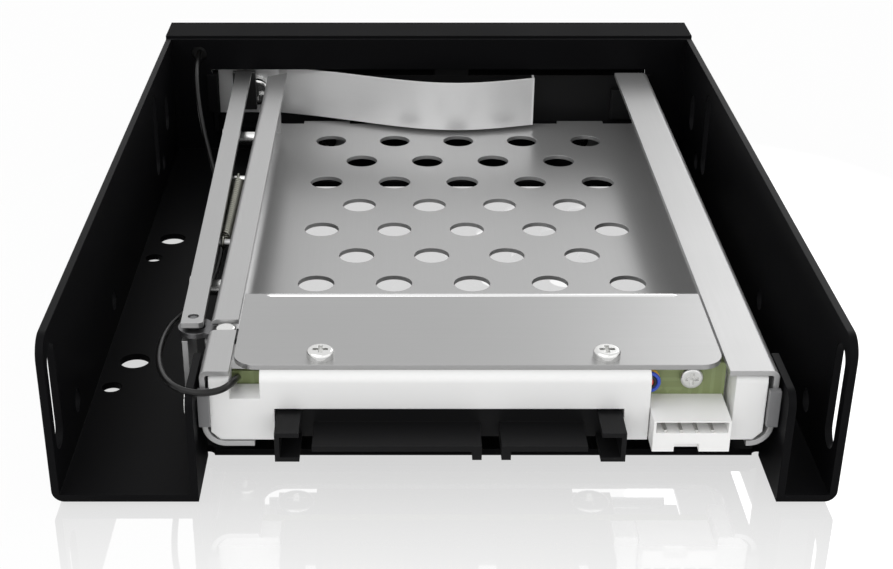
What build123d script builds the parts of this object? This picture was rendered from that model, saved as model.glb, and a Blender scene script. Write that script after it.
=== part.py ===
"""Hot swap drive cage: a sheet steel tray for one 2.5 inch drive, carried in a 3.5 inch bay bracket.

Millimetres. +Z is up, the front panel faces -Y and the rear connectors face +Y. The eject mechanism
is on the +X side. The origin is the centre of the four bottom mounting holes, on the bracket's underside.
A place along the bracket is given as a depth from its rear edge towards the front.
"""

from build123d import *
from math import atan2, cos, degrees, hypot, radians, sin
import os

os.makedirs("parts", exist_ok=True)

# Bay bracket
bay_width = 101.6
bracket_length = 125.5
bracket_height = 23.4
bracket_sheet = 1.0
bracket_bend = 1.6
wall_corner = 3.0
rear_to_origin = 50.5
lever_shelf = 19.0
power_shelf = 7.8
recess_depth = 11.3
rear_strip = 20.0
window_front = 107.0
window_corner = 3.0
ear_height = 15.8
ear_corner = 2.2
hook_xs = (-14.0, 4.0, 36.0)
hook_width = 6.0
hook_sheet = 1.0
hook_barb = 0.8
bend_relief = 0.9
wall_opening_width = 84.9
wall_opening_bottom = 5.0
wall_opening_top = 17.4
small_hole = 2.86
small_hole_span_x = 95.25
small_hole_span_y = 44.45
large_hole = 4.4
large_hole_inset = 2.2
large_hole_forward = 7.9
side_hole = 3.3
side_hole_z = 6.0
side_hole_depths = (15.9, 46.9, 104.9)
tall_slot_height = 15.0
tall_slot_width = 4.3
tall_slot_z = 13.5
tall_slot_depths = (3.9, 98.4)
short_slot_height = 6.8
short_slot_width = 4.2
short_slot_z = 12.8
short_slot_depth = 112.6

# Drive cage
cage_sheet = 0.7
cage_gap = 0.5
cage_underside = 6.1
cage_height = 11.1
cage_rear_depth = 3.9
cage_front_depth = 123.0
cage_bend = 3.0
flange_bend = 1.0
power_flange = 6.4
lever_flange = 3.8
flange_gap_start = 15.2
flange_gap_end = 18.3
flange_slant = 3.0
cutout_depth = 15.8
cutout_lever_margin = 6.7
cutout_power_margin = 3.3
cutout_corner = 3.0
vent_hole = 5.7
vent_pitch_x = 12.2
vent_pitch_y = 10.43
vent_first_depth = 50.8
vent_rows = 7
vent_margin = 6.0
lip_drop = 4.9
lip_width = 9.0
lip_screw_z = 3.1
lip_screw_xs = (-30.0, 20.0)
guide_finger_width = 2.0
guide_finger_depth = 117.2
guide_finger_top = 11.4
guide_finger_hole = 1.1
side_rivet_depth = 6.0
side_rivet_z = 11.5
side_rivet = 2.2
side_rivet_head = 4.0
side_rivet_head_height = 0.7
lever_window_rear = 13.2
lever_window_front = 21.0

# Cover plate
cover_rear_depth = 5.5
cover_front_depth = 26.3
cover_corner = 3.0
cover_gap = 0.3
cover_lip = 1.3
cover_lip_taper = 2.0
cover_screw_depth = 7.8
cover_screw_xs = (16.0, -20.9)

# Pan head screws: head diameter, head height, shank diameter, shank length
small_screw = (3.6, 1.1, 1.9, 4.0)
lip_screw = (3.5, 1.0, 1.9, 1.7)
cover_screw = (3.6, 1.1, 1.9, 2.1)
board_screw_size = (3.1, 1.0, 1.6, 2.6)
holder_screw_size = (5.3, 1.1, 2.4, 5.0)
leaf_screw_size = (5.5, 1.7, 2.8, 3.4)
leaf_hole_play = 0.03
recess_share = 0.55
recess_width_share = 0.16
recess_depth_share = 0.6
head_round_share = 0.45

# Backplane holder and board
holder_rear_depth = 4.15
holder_wall = 3.95
holder_base = 6.9
holder_lever_gap = 0.4
holder_power_set = 16.15
post_inner = -37.1
post_outer = -41.2
roof_thickness = 1.3
holder_forward_depth = 14.6
boss_x = 20.5
boss_centre = -0.3
boss_width = 3.6
side_block_inner = 24.9
side_block_depth = 16.2
side_block_top = 13.2
bridge = 2.2
bridge_bottom = 9.4
boss_bottom = 9.3
holder_screw_depth = 12.7
foot_screw_x = 27.4
foot_screw_depth = 14.3
notch_inner = 23.7
notch_outer = 27.6
notch_floor = 13.0
holder_round = 1.2
holder_corner = 1.2
clip_reach = 0.3
clip_inset = 1.2
clip_rear_depth = 3.1
clip_bottom = 9.4
clip_top = 14.6
rear_window_top = 11.5
rear_window_margin = 0.3
board_thickness = 1.6
board_gap = 0.2
board_lever_inset = 1.2
board_power_set = 5.9
board_bottom = 7.1
board_top = 14.8
board_raised_top = 16.0
board_raised_edge = -26.6
board_screw_x = -32.1
board_screw_z = 14.1

# Rear 22-pin connector
connector_centre = -0.6
rear_body_half = 22.2
rear_body_bottom = 6.95
rear_body_top = 11.1
rear_shelf_depth = 4.9
rear_reach = 1.3
guide_width = 3.1
guide_wall = 0.6
tongue_thickness = 0.75
tongue_top = 9.2
power_tongue = (16.9, -4.6)
signal_tongue = (-7.1, -18.0)
key_width = 1.2
key_bottom = 7.2
power_pins = 15
signal_pins = 7
pin_pitch = 1.27
rear_contact_width = 0.7
rear_contact_thickness = 0.2
contact_setback = 0.4

# Drive-side 22-pin receptacle
socket_depth = 11.5
socket_half = 18.1
socket_bottom = 7.6
socket_top = 12.6
socket_ear_half = 23.4
socket_ear_top = 9.2
slot_margin = 0.25
socket_slot_depth = 6.5
socket_ear_depth = 6.2
socket_tongue_z = 10.2

# Power header
header_lever_edge = -26.5
header_width = 9.9
header_bottom = 6.95
header_top = 11.4
header_rear_depth = 1.4
header_lip_depth = -0.3
header_notch_depth = 2.0
header_shelf_depth = 2.8
header_shelf_z = 8.75
header_pin_shift = 0.4
header_wall = 0.8
header_pin = 0.5
header_pin_pitch = 2.0
header_pin_count = 4
header_notch = 3.4
header_back = 1.4

# Thin wires beside the header
# radius of the bend, wire diameter and depth of each wire
wires = {
    "wire_yellow": (1.3, 0.5, 7.3),
    "wire_blue": (1.3, 0.5, 6.4),
    "wire_black": (0.84, 0.42, 6.4),
    "wire_red": (0.42, 0.42, 6.4),
}
wire_z = 14.2

# Front bezel
bezel_width = 101.9
bezel_bottom = -0.8
bezel_top = 23.8
bezel_depth = 9.8
bezel_wall = 1.4
bezel_edge = 0.8
door_gap = 0.35
door_opening_top = 17.3
door_opening_sill = 0.6
riser = 1.4
frame_wall = 1.2
sill_top = 5.9
sill_half = 42.2
post_reach = 42.2
post_thickness = 0.9
post_top = 16.5
post_barb = 1.0
post_barb_bottom = 9.0

# Door, its hinge and the leaf spring
door_lever_edge = 47.4
door_power_edge = -43.6
door_bottom = 0.9
door_top = 16.9
door_skin = 1.8
door_thickness = 7.1
door_set_back = 0.2
door_box_top = 15.05
door_box_bottom = 1.6
door_box_margin = 1.4
liner = 1.2
hinge_x = 44.7
hinge_set_back = 2.7
hinge_pin = 2.0
hinge_pin_length = 3.0
hinge_clearance = 0.05
hinge_low = -0.65
door_edge = 0.4
pull_x = -28.0
pull_width = 16.0
pull_height = 3.0
pull_sink = 0.9
leaf_sheet = 0.4
leaf_bottom = 7.5
leaf_top = 16.9
leaf_root = 43.0
leaf_bend_x = 29.5
leaf_bow_x = -8.0
leaf_bow_reach = 10.2
leaf_end_x = -20.0
leaf_end_reach = 7.4
leaf_fold = 2.0
leaf_steps = 20
leaf_slope = 0.25
leaf_end_slope = 0.3
leaf_screw_x = 33.9
leaf_screw_z = 12.2
rib_x = -4.6
rib_width = 7.0
rib_top = 16.4
rib_depth = 1.2
rib_round = 0.4
catch_x = -38.4
catch_z = 9.5
catch_width = 4.4
catch_height = 6.0
catch_depth = 1.6

# Push bar, button, lever and return spring
bar_sheet = 0.8
bar_width = 3.0
bar_rear_depth = 17.2
bar_front_depth = 124.0
bar_rear_outer = 35.2
bar_front_outer = 37.5
bar_web_bottom = 10.2
bar_tail_bottom = 7.2
bar_tail_depth = 27.0
bar_tail_top = 14.4
bar_notch_depth = 24.0
bar_travel = 3.0
bar_corner = 0.6
button_x = 36.0
button_bottom = 9.4
button_front_depth = 125.6
button_width = 4.4
button_height = 7.6
button_round = 0.5
pivot_x = 29.1
pivot_depth = 16.75
pin_x = 33.7
pin_depth = 19.2
lever_sheet = 0.8
lever_underside = 15.0
lever_eye = 2.4
lever_hub = 1.35
lever_tip_x = 20.2
lever_tip_depth = 17.3
lever_tip_half = 1.5
lever_tip_bottom = 9.6
lever_gap = 0.1
slot_clearance = 0.2
bar_pin = 1.5
bar_pin_bottom = 14.2
pin_recess = 0.2
rivet_shank = 2.0
rivet_head = 2.9
rivet_head_height = 1.0
rivet_round = 0.6
pivot_tab = 0.7
guide_depths = (38.0, 100.0)
guide_z = 12.4
guide_shoulder = 2.4
guide_shank = 1.6
guide_head = 3.4
guide_head_height = 0.7
guide_gap = 0.2
spring_x = 32.7
spring_z = 14.6
spring_outer = 2.2
spring_wire = 0.4
spring_front_depth = 75.5
spring_rear_depth = 48.0
loop_radius = 0.85
hook_reach = 0.6
post_diameter = 1.2
post_length = 2.7

# Light board and the black lead
light_board_x = 44.6
light_board_z = 20.5
light_board_width = 8.0
light_board_height = 3.2
light_board_rear_depth = 126.2
light_board_sheet = 1.0
light_pipe = 2.0
light_pipe_spacing = 4.4
lead_diameter = 1.5
lead_hole = 3.0
lead_route = [
    (44.6, -75.7, 20.5),
    (44.6, -68.0, 20.0),
    (43.2, -58.5, 14.5),
    (40.4, -50.0, 7.8),
    (37.2, -39.0, 3.9),
    (35.6, -24.0, 3.5),
    (35.3, -7.0, 4.6),
    (36.0, 8.0, 6.8),
    (37.5, 20.5, 9.8),
    (38.4, 31.0, 12.6),
    (37.9, 41.0, 15.4),
    (35.4, 48.6, 17.2),
    (31.2, 51.6, 17.5),
    (27.7, 49.9, 16.4),
    (26.0, 46.2, 14.9),
    (25.6, 42.2, 13.9),
]
lead_end_pull = 1.0

overrun = 1.0
arc_samples = 60
rivet_clearance = 0.1

# Places worked out from the sizes above
rear_y = rear_to_origin
half_bay = bay_width / 2
shelf_lever_x = half_bay - lever_shelf
shelf_power_x = power_shelf - half_bay
cage_lever_x = shelf_lever_x - cage_gap
cage_power_x = shelf_power_x + cage_gap
cage_centre_x = (cage_lever_x + cage_power_x) / 2
cage_width = cage_lever_x - cage_power_x
vent_long_row = 1 + int((cage_width - 2 * (cage_sheet + vent_margin) - vent_hole) / vent_pitch_x)
cage_top = cage_underside + cage_height
cage_floor = cage_underside + cage_sheet
cage_length = cage_front_depth - cage_rear_depth
flange_underside = cage_top - cage_sheet
power_flange_x = cage_power_x + power_flange
lever_flange_x = cage_lever_x - lever_flange
holder_lever_edge = cage_lever_x - cage_sheet - holder_lever_gap
holder_power_edge = cage_power_x + holder_power_set
board_lever_edge = holder_lever_edge - board_lever_inset
board_power_edge = cage_power_x + board_power_set
board_rear_depth = holder_rear_depth + holder_wall + board_gap
board_front_depth = board_rear_depth + board_thickness
bezel_front_depth = bracket_length + bezel_depth
door_front_depth = bezel_front_depth - door_set_back
door_rear_depth = door_front_depth - door_thickness
hinge_depth = door_front_depth - hinge_set_back
leaf_bow_depth = door_rear_depth - leaf_bow_reach
leaf_end_depth = door_rear_depth - leaf_end_reach


def at_depth(depth):
    """Y of a place measured from the bracket's rear edge."""
    return rear_y - depth


def across(depth):
    """Plane across the object: X to the right, Z up, its normal towards the front."""
    return Plane.XZ.offset(-at_depth(depth))


def block(x_low, x_high, rear_depth, front_depth, z_low, z_high, mode=Mode.ADD):
    """A rectangular block between two X, two depths and two heights."""
    middle = ((x_low + x_high) / 2, at_depth((rear_depth + front_depth) / 2), (z_low + z_high) / 2)
    with Locations(middle):
        Box(x_high - x_low, front_depth - rear_depth, z_high - z_low, mode=mode)


def pan_head_screw(place, size):
    """A cross-recess pan head screw. Its head stands up along the place's normal, its shank goes down."""
    head, height, shank, length = size
    with BuildSketch(place) as head_outline:
        Circle(head / 2)
    extrude(head_outline.sketch, amount=height)
    top = faces(Select.LAST).sort_by(Axis(place.origin, place.z_dir))[-1]
    fillet(top.edges(), radius=height * head_round_share)
    with BuildSketch(place) as shank_outline:
        Circle(shank / 2)
    extrude(shank_outline.sketch, amount=-length)
    with BuildSketch(place.offset(height)) as cross:
        Rectangle(head * recess_share, head * recess_width_share)
        Rectangle(head * recess_width_share, head * recess_share)
    extrude(cross.sketch, amount=-height * recess_depth_share, mode=Mode.SUBTRACT)


def save(part, name):
    """Labels a finished piece and writes it."""
    part.part.label = name
    export_step(part.part, f"parts/{name}.step")

holder_top = flange_underside
wall_depth = bracket_length - bracket_sheet
small_hole_x = small_hole_span_x / 2
small_hole_y = small_hole_span_y / 2


# Bay bracket: a folded channel with an open floor, a front wall and two upturned rear ears
with BuildPart() as bay_bracket:
    with BuildSketch(across(0)):
        with Locations((0, bracket_height / 2)):
            Rectangle(bay_width, bracket_height)
        fillet(vertices().group_by(Axis.Y)[0], radius=bracket_bend)
        with Locations((0, bracket_height / 2 + bracket_sheet)):
            Rectangle(bay_width - 2 * bracket_sheet, bracket_height, mode=Mode.SUBTRACT)
    extrude(amount=bracket_length)
    wall_tops = edges().filter_by(Axis.X).group_by(Axis.Z)[-1]
    fillet(wall_tops.group_by(Axis.Y)[-1], radius=wall_corner)
    block(-half_bay + bracket_sheet, half_bay - bracket_sheet, wall_depth, bracket_length,
          bracket_sheet, bracket_height)
    block(-wall_opening_width / 2, wall_opening_width / 2, wall_depth - overrun, bracket_length + overrun,
          wall_opening_bottom, wall_opening_top, Mode.SUBTRACT)
    block(shelf_power_x, shelf_lever_x, -overrun, recess_depth, -overrun, bracket_sheet + overrun,
          Mode.SUBTRACT)
    window_rear = recess_depth + rear_strip
    with BuildSketch(Plane.XY.offset(-overrun)):
        with Locations(((shelf_power_x + shelf_lever_x) / 2, at_depth((window_rear + window_front) / 2))):
            RectangleRounded(shelf_lever_x - shelf_power_x, window_front - window_rear, window_corner)
        with Locations((shelf_lever_x, at_depth(recess_depth)), (shelf_power_x, at_depth(recess_depth))):
            Circle(bend_relief)
        with GridLocations(small_hole_span_x, small_hole_span_y, 2, 2):
            Circle(small_hole / 2)
        with Locations(*[(small_hole_x - large_hole_inset, y - large_hole_forward)
                         for y in (small_hole_y, -small_hole_y)]):
            Circle(large_hole / 2)
    extrude(amount=bracket_sheet + 2 * overrun, mode=Mode.SUBTRACT)
    for ear_x in (shelf_lever_x, shelf_power_x - bracket_sheet):
        with BuildSketch(Plane.YZ.offset(ear_x)):
            with Locations((at_depth(recess_depth / 2), ear_height / 2)):
                Rectangle(recess_depth, ear_height)
            fillet(vertices().group_by(Axis.Y)[-1].sort_by(Axis.X)[-1], radius=ear_corner)
            with Locations((at_depth(side_rivet_depth), side_rivet_z)):
                Circle(side_rivet / 2, mode=Mode.SUBTRACT)
        extrude(amount=bracket_sheet)
    for side in (1, -1):
        with BuildSketch(Plane.YZ.offset(side * (half_bay - bracket_sheet / 2))):
            with Locations(*[(at_depth(depth), side_hole_z) for depth in side_hole_depths]):
                Circle(side_hole / 2)
            with Locations(*[(at_depth(depth), tall_slot_z) for depth in tall_slot_depths]):
                SlotOverall(tall_slot_height, tall_slot_width, rotation=90)
            with Locations((at_depth(short_slot_depth), short_slot_z)):
                SlotOverall(short_slot_height, short_slot_width, rotation=90)
        extrude(amount=bracket_sheet, both=True, mode=Mode.SUBTRACT)
    with BuildSketch(across(wall_depth - overrun)):
        with Locations((light_board_x, light_board_z)):
            Circle(lead_hole / 2)
        with Locations(*[(x, lip_screw_z) for x in lip_screw_xs]):
            Circle(lip_screw[2] / 2)
    extrude(amount=bracket_sheet + 2 * overrun, mode=Mode.SUBTRACT)
save(bay_bracket, "bay_bracket")

# Drive cage: a folded tray with inturned top flanges and a perforated floor
with BuildPart() as drive_cage:
    with BuildSketch(across(cage_rear_depth)):
        with Locations((cage_centre_x, cage_underside + cage_height / 2)):
            Rectangle(cage_width, cage_height)
        fillet(vertices().group_by(Axis.Y)[0], radius=cage_bend)
        fillet(vertices().group_by(Axis.Y)[-1], radius=flange_bend)
        offset(amount=-cage_sheet, mode=Mode.SUBTRACT)
        with Locations(((power_flange_x + lever_flange_x) / 2, cage_top)):
            Rectangle(lever_flange_x - power_flange_x, 3 * cage_sheet, mode=Mode.SUBTRACT)
    extrude(amount=cage_length)
    with BuildSketch(Plane.XY.offset(cage_underside - overrun)):
        for row in range(vent_rows):
            holes_in_row = vent_long_row - row % 2
            with Locations((cage_centre_x, at_depth(vent_first_depth + row * vent_pitch_y))):
                with GridLocations(vent_pitch_x, vent_pitch_y, holes_in_row, 1):
                    Circle(vent_hole / 2)
    extrude(amount=cage_sheet + 2 * overrun, mode=Mode.SUBTRACT)
    cutout_lever_x = cage_lever_x - cutout_lever_margin
    cutout_power_x = cage_power_x + cutout_power_margin
    with BuildSketch(Plane.XY.offset(cage_underside - overrun)):
        with Locations(((cutout_lever_x + cutout_power_x) / 2, at_depth(cutout_depth / 2))):
            Rectangle(cutout_lever_x - cutout_power_x, cutout_depth)
        fillet(vertices().group_by(Axis.Y)[0], radius=cutout_corner)
    extrude(amount=cage_sheet + 2 * overrun, mode=Mode.SUBTRACT)
    # the flange opens for the lever, and the wall below it has the lever's window
    block(lever_flange_x - overrun, cage_lever_x + overrun, flange_gap_start, flange_gap_end,
          flange_underside - lever_gap, cage_top + overrun, Mode.SUBTRACT)
    tab_top = lever_underside - lever_gap
    block(cage_lever_x - cage_sheet - overrun, cage_lever_x + overrun, lever_window_rear, lever_window_front,
          tab_top, flange_underside, Mode.SUBTRACT)
    with BuildSketch(Plane.XY.offset(flange_underside)):
        Polygon((cage_lever_x + overrun, at_depth(cage_front_depth - flange_slant)),
                (cage_lever_x + overrun, at_depth(cage_front_depth + overrun)),
                (lever_flange_x, at_depth(cage_front_depth + overrun)),
                (lever_flange_x, at_depth(cage_front_depth)), align=None)
    extrude(amount=cage_sheet + overrun, mode=Mode.SUBTRACT)
    # shelf that carries the lever's rivet
    with BuildSketch(Plane.XY.offset(tab_top - pivot_tab)):
        with Locations((pivot_x, at_depth(pivot_depth))):
            Circle(rivet_head)
        with Locations(((pivot_x + cage_lever_x - cage_sheet / 2) / 2, at_depth(pivot_depth))):
            Rectangle(cage_lever_x - cage_sheet / 2 - pivot_x, 2 * rivet_head)
        with Locations((pivot_x, at_depth(pivot_depth))):
            Circle(rivet_shank / 2, mode=Mode.SUBTRACT)
    extrude(amount=pivot_tab)
    # holes of the guide studs
    with BuildSketch(Plane.YZ.offset(cage_lever_x - cage_sheet - overrun)):
        with Locations(*[(at_depth(depth), guide_z) for depth in guide_depths]):
            Circle(guide_shank / 2)
    extrude(amount=cage_sheet + 2 * overrun, mode=Mode.SUBTRACT)
    # guide finger at the mouth
    finger_x = cage_lever_x - cage_sheet - guide_finger_width
    block(finger_x, cage_lever_x - cage_sheet / 2, guide_finger_depth, guide_finger_depth + cage_sheet,
          cage_floor - cage_sheet / 2, guide_finger_top)
    with BuildSketch(across(guide_finger_depth - overrun)):
        with Locations((finger_x + guide_finger_width / 2, guide_finger_top - guide_finger_hole)):
            Circle(guide_finger_hole / 2)
    extrude(amount=cage_sheet + 2 * overrun, mode=Mode.SUBTRACT)
    with BuildSketch(Plane.XY.offset(cage_underside - overrun)):
        with Locations((foot_screw_x, at_depth(foot_screw_depth))):
            Circle(small_screw[2] / 2)
    extrude(amount=cage_sheet + 2 * overrun, mode=Mode.SUBTRACT)
    # two lips bent down to the bracket's front wall
    for x in lip_screw_xs:
        block(x - lip_width / 2, x + lip_width / 2, cage_front_depth, wall_depth, cage_underside, cage_floor)
        block(x - lip_width / 2, x + lip_width / 2, wall_depth - cage_sheet, wall_depth,
              cage_underside - lip_drop, cage_floor)
    with BuildSketch(across(wall_depth - cage_sheet - overrun)):
        with Locations(*[(x, lip_screw_z) for x in lip_screw_xs]):
            Circle(lip_screw[2] / 2)
    extrude(amount=cage_sheet + 2 * overrun, mode=Mode.SUBTRACT)
    with BuildSketch(Plane.YZ.offset(cage_power_x - overrun)):
        with Locations((at_depth(side_rivet_depth), side_rivet_z)):
            Circle(side_rivet / 2)
    extrude(amount=cage_width + 2 * overrun, mode=Mode.SUBTRACT)
save(drive_cage, "drive_cage")

# Rivets that hold the cage walls to the bracket's ears, heads outside
with BuildPart() as side_rivets:
    for inner_x, ear_x, side in ((cage_lever_x - cage_sheet, shelf_lever_x + bracket_sheet, 1),
                                 (cage_power_x + cage_sheet, shelf_power_x - bracket_sheet, -1)):
        with BuildSketch(Plane.YZ.offset(inner_x)):
            with Locations((at_depth(side_rivet_depth), side_rivet_z)):
                Circle(side_rivet / 2)
        extrude(amount=ear_x - inner_x)
        with BuildSketch(Plane.YZ.offset(ear_x)):
            with Locations((at_depth(side_rivet_depth), side_rivet_z)):
                Circle(side_rivet_head / 2)
        extrude(amount=side * side_rivet_head_height)
save(side_rivets, "side_rivets")

# Screws of the cage's front lips, driven from behind
with BuildPart() as lip_screws:
    for x in lip_screw_xs:
        pan_head_screw(Plane(origin=(x, at_depth(wall_depth - cage_sheet), lip_screw_z), z_dir=(0, 1, 0)),
                       lip_screw)
save(lip_screws, "lip_screws")

# Rear cover plate with round corners and a front lip turned down
cover_lever_x = lever_flange_x - cover_gap
cover_power_x = power_flange_x + cover_gap
with BuildPart() as rear_cover_plate:
    with BuildSketch(Plane.XY.offset(flange_underside)):
        with Locations(((cover_lever_x + cover_power_x) / 2,
                        at_depth((cover_rear_depth + cover_front_depth) / 2))):
            Rectangle(cover_lever_x - cover_power_x, cover_front_depth - cover_rear_depth)
        fillet(vertices().group_by(Axis.Y)[-1], radius=cover_corner)
        with Locations(*[(x, at_depth(cover_screw_depth)) for x in cover_screw_xs]):
            Circle(cover_screw[2] / 2, mode=Mode.SUBTRACT)
    extrude(amount=cage_sheet)
    block(cover_power_x + cover_lip_taper, cover_lever_x - cover_lip_taper,
          cover_front_depth - cage_sheet, cover_front_depth, flange_underside - cover_lip, flange_underside)
    front_top = edges().filter_by(Axis.X).group_by(Axis.Z)[-1].sort_by(Axis.Y)[0]
    fillet(front_top, radius=cage_sheet * head_round_share)
save(rear_cover_plate, "rear_cover_plate")

with BuildPart() as cover_screws:
    for x in cover_screw_xs:
        pan_head_screw(Plane((x, at_depth(cover_screw_depth), cage_top)), cover_screw)
save(cover_screws, "cover_screws")


# Backplane holder: a white moulding, rear wall, roof over the board, bosses, side block and right post
connector_low = connector_centre - rear_body_half
connector_high = connector_centre + rear_body_half
wall_front_depth = holder_rear_depth + holder_wall
roof_bottom = holder_top - roof_thickness
boss_xs = (boss_centre + boss_x, boss_centre - boss_x)
bridge_front_depth = board_front_depth + bridge
with BuildPart() as backplane_holder:
    block(holder_power_edge, holder_lever_edge, holder_rear_depth, wall_front_depth, holder_base, holder_top)
    block(holder_power_edge, holder_lever_edge, wall_front_depth, holder_forward_depth, roof_bottom,
          holder_top)
    block(post_outer, post_inner, holder_rear_depth, bridge_front_depth, holder_base, holder_top)
    block(post_outer, boss_xs[1], board_front_depth, bridge_front_depth, bridge_bottom, roof_bottom)
    block(board_lever_edge + board_gap, holder_lever_edge, wall_front_depth, side_block_depth,
          holder_base, roof_bottom)
    block(side_block_inner, holder_lever_edge, board_front_depth, side_block_depth, holder_base,
          side_block_top)
    for x in boss_xs:
        block(x - boss_width / 2, x + boss_width / 2, board_front_depth, holder_forward_depth,
              boss_bottom, roof_bottom)
    block(connector_low - rear_window_margin, connector_high + rear_window_margin,
          holder_rear_depth - overrun, wall_front_depth + overrun, holder_base - overrun, rear_window_top,
          Mode.SUBTRACT)
    block(notch_inner, notch_outer, holder_rear_depth - overrun, wall_front_depth, notch_floor,
          holder_top + overrun, Mode.SUBTRACT)
    pivot_room = lever_underside - 2 * pivot_tab - lever_gap
    block(side_block_inner - overrun, holder_lever_edge + overrun, holder_forward_depth - bridge,
          side_block_depth + overrun, pivot_room, holder_top + overrun, Mode.SUBTRACT)
    with BuildSketch(Plane.XY.offset(boss_bottom)):
        with Locations(*[(x, at_depth(holder_screw_depth)) for x in boss_xs]):
            Circle(holder_screw_size[2] / 2)
    extrude(amount=holder_screw_size[3], mode=Mode.SUBTRACT)
    with BuildSketch(across(board_front_depth)):
        with Locations((board_screw_x, board_screw_z)):
            Circle(board_screw_size[2] / 2)
    extrude(amount=board_screw_size[3], mode=Mode.SUBTRACT)
    with BuildSketch(Plane.XY.offset(holder_top)):
        with Locations(*[(x, at_depth(cover_screw_depth)) for x in cover_screw_xs]):
            Circle(cover_screw[2] / 2)
    extrude(amount=cage_sheet - cover_screw[3], mode=Mode.SUBTRACT)
    with BuildSketch(Plane.XY.offset(holder_base)):
        with Locations((foot_screw_x, at_depth(foot_screw_depth))):
            Circle(small_screw[2] / 2)
    extrude(amount=small_screw[3], mode=Mode.SUBTRACT)
    outer_edges = edges().filter_by(Axis.X).group_by(Axis.Y)[-1].group_by(Axis.Z)[-1]
    fillet(outer_edges, radius=holder_round)
    # the lower outer corners clear the cage's bends
    with BuildSketch(across(holder_rear_depth - overrun)):
        for edge_x, side in ((holder_lever_edge, 1), (post_outer, -1)):
            Polygon((edge_x + side * overrun, holder_base - overrun),
                    (edge_x + side * overrun, holder_base + holder_corner + overrun),
                    (edge_x - side * (holder_corner + overrun), holder_base - overrun),
                    align=None)
    extrude(amount=side_block_depth + 2 * overrun, mode=Mode.SUBTRACT)
save(backplane_holder, "backplane_holder")

# Clips that close over the cage walls' rear edges
with BuildPart() as holder_clips:
    for wall_x, holder_x, side in ((cage_lever_x, holder_lever_edge, 1), (cage_power_x, post_outer, -1)):
        ends = sorted((wall_x + side * clip_reach, holder_x - side * clip_inset))
        block(ends[0], ends[1], clip_rear_depth, cage_rear_depth, clip_bottom, clip_top)
        ends = sorted((holder_x, holder_x - side * clip_inset))
        block(ends[0], ends[1], cage_rear_depth, holder_rear_depth, clip_bottom, clip_top)
save(holder_clips, "holder_clips")

# Backplane board, standing behind the drive, taller beside the power header
with BuildPart() as backplane_board:
    block(board_power_edge, board_lever_edge, board_rear_depth, board_front_depth, board_bottom, board_top)
    block(board_power_edge, board_raised_edge, board_rear_depth, board_front_depth, board_top,
          board_raised_top)
    with BuildSketch(across(board_rear_depth)):
        with Locations((board_screw_x, board_screw_z)):
            Circle(board_screw_size[2] / 2)
    extrude(amount=board_thickness, mode=Mode.SUBTRACT)
save(backplane_board, "backplane_board")

with BuildPart() as board_screw:
    pan_head_screw(Plane(origin=(board_screw_x, at_depth(board_rear_depth), board_screw_z), z_dir=(0, 1, 0)),
                   board_screw_size)
save(board_screw, "board_screw")

# Screws from below: two long ones through the receptacle's ears, a small one through the cage floor
with BuildPart() as holder_screws:
    for x in boss_xs:
        pan_head_screw(Plane(origin=(x, at_depth(holder_screw_depth), socket_bottom), z_dir=(0, 0, -1)),
                       holder_screw_size)
save(holder_screws, "holder_screws")

with BuildPart() as foot_screw:
    pan_head_screw(Plane(origin=(foot_screw_x, at_depth(foot_screw_depth), cage_underside), z_dir=(0, 0, -1)),
                   small_screw)
save(foot_screw, "foot_screw")

# Rear connector: body, two hollow guide ears and two tongues with their keys
tongues = (power_tongue, signal_tongue)
with BuildPart() as rear_sata_connector:
    block(connector_low, connector_high, rear_shelf_depth, board_rear_depth, rear_body_bottom, rear_body_top)
    for outer, inner in ((connector_high, connector_high - guide_width),
                         (connector_low, connector_low + guide_width)):
        low, high = sorted((outer, inner))
        block(low, high, -rear_reach, rear_shelf_depth, rear_body_bottom, rear_body_top)
        low, high = sorted((outer - (outer - inner) * guide_wall / guide_width, inner + (inner - outer)))
        block(low, high, -rear_reach - overrun, rear_shelf_depth, rear_body_bottom + guide_wall,
              rear_body_top - guide_wall, Mode.SUBTRACT)
    for high, low in tongues:
        block(low, high, -rear_reach, rear_shelf_depth, tongue_top - tongue_thickness, tongue_top)
    block(power_tongue[1], power_tongue[1] + key_width, -rear_reach, rear_shelf_depth, key_bottom, tongue_top)
    block(signal_tongue[0] - key_width, signal_tongue[0], -rear_reach, rear_shelf_depth, key_bottom,
          tongue_top)
save(rear_sata_connector, "rear_sata_connector")

power_pins_centre = (power_tongue[0] + power_tongue[1] + key_width) / 2
signal_pins_centre = (signal_tongue[0] - key_width + signal_tongue[1]) / 2
contact_xs = [power_pins_centre + (i - (power_pins - 1) / 2) * pin_pitch for i in range(power_pins)]
contact_xs += [signal_pins_centre + (i - (signal_pins - 1) / 2) * pin_pitch for i in range(signal_pins)]
with BuildPart() as rear_contacts:
    tongue_bottom = tongue_top - tongue_thickness
    for x in contact_xs:
        block(x - rear_contact_width / 2, x + rear_contact_width / 2, contact_setback - rear_reach,
              rear_shelf_depth, tongue_bottom - rear_contact_thickness, tongue_bottom)
save(rear_contacts, "rear_contacts")

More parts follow.
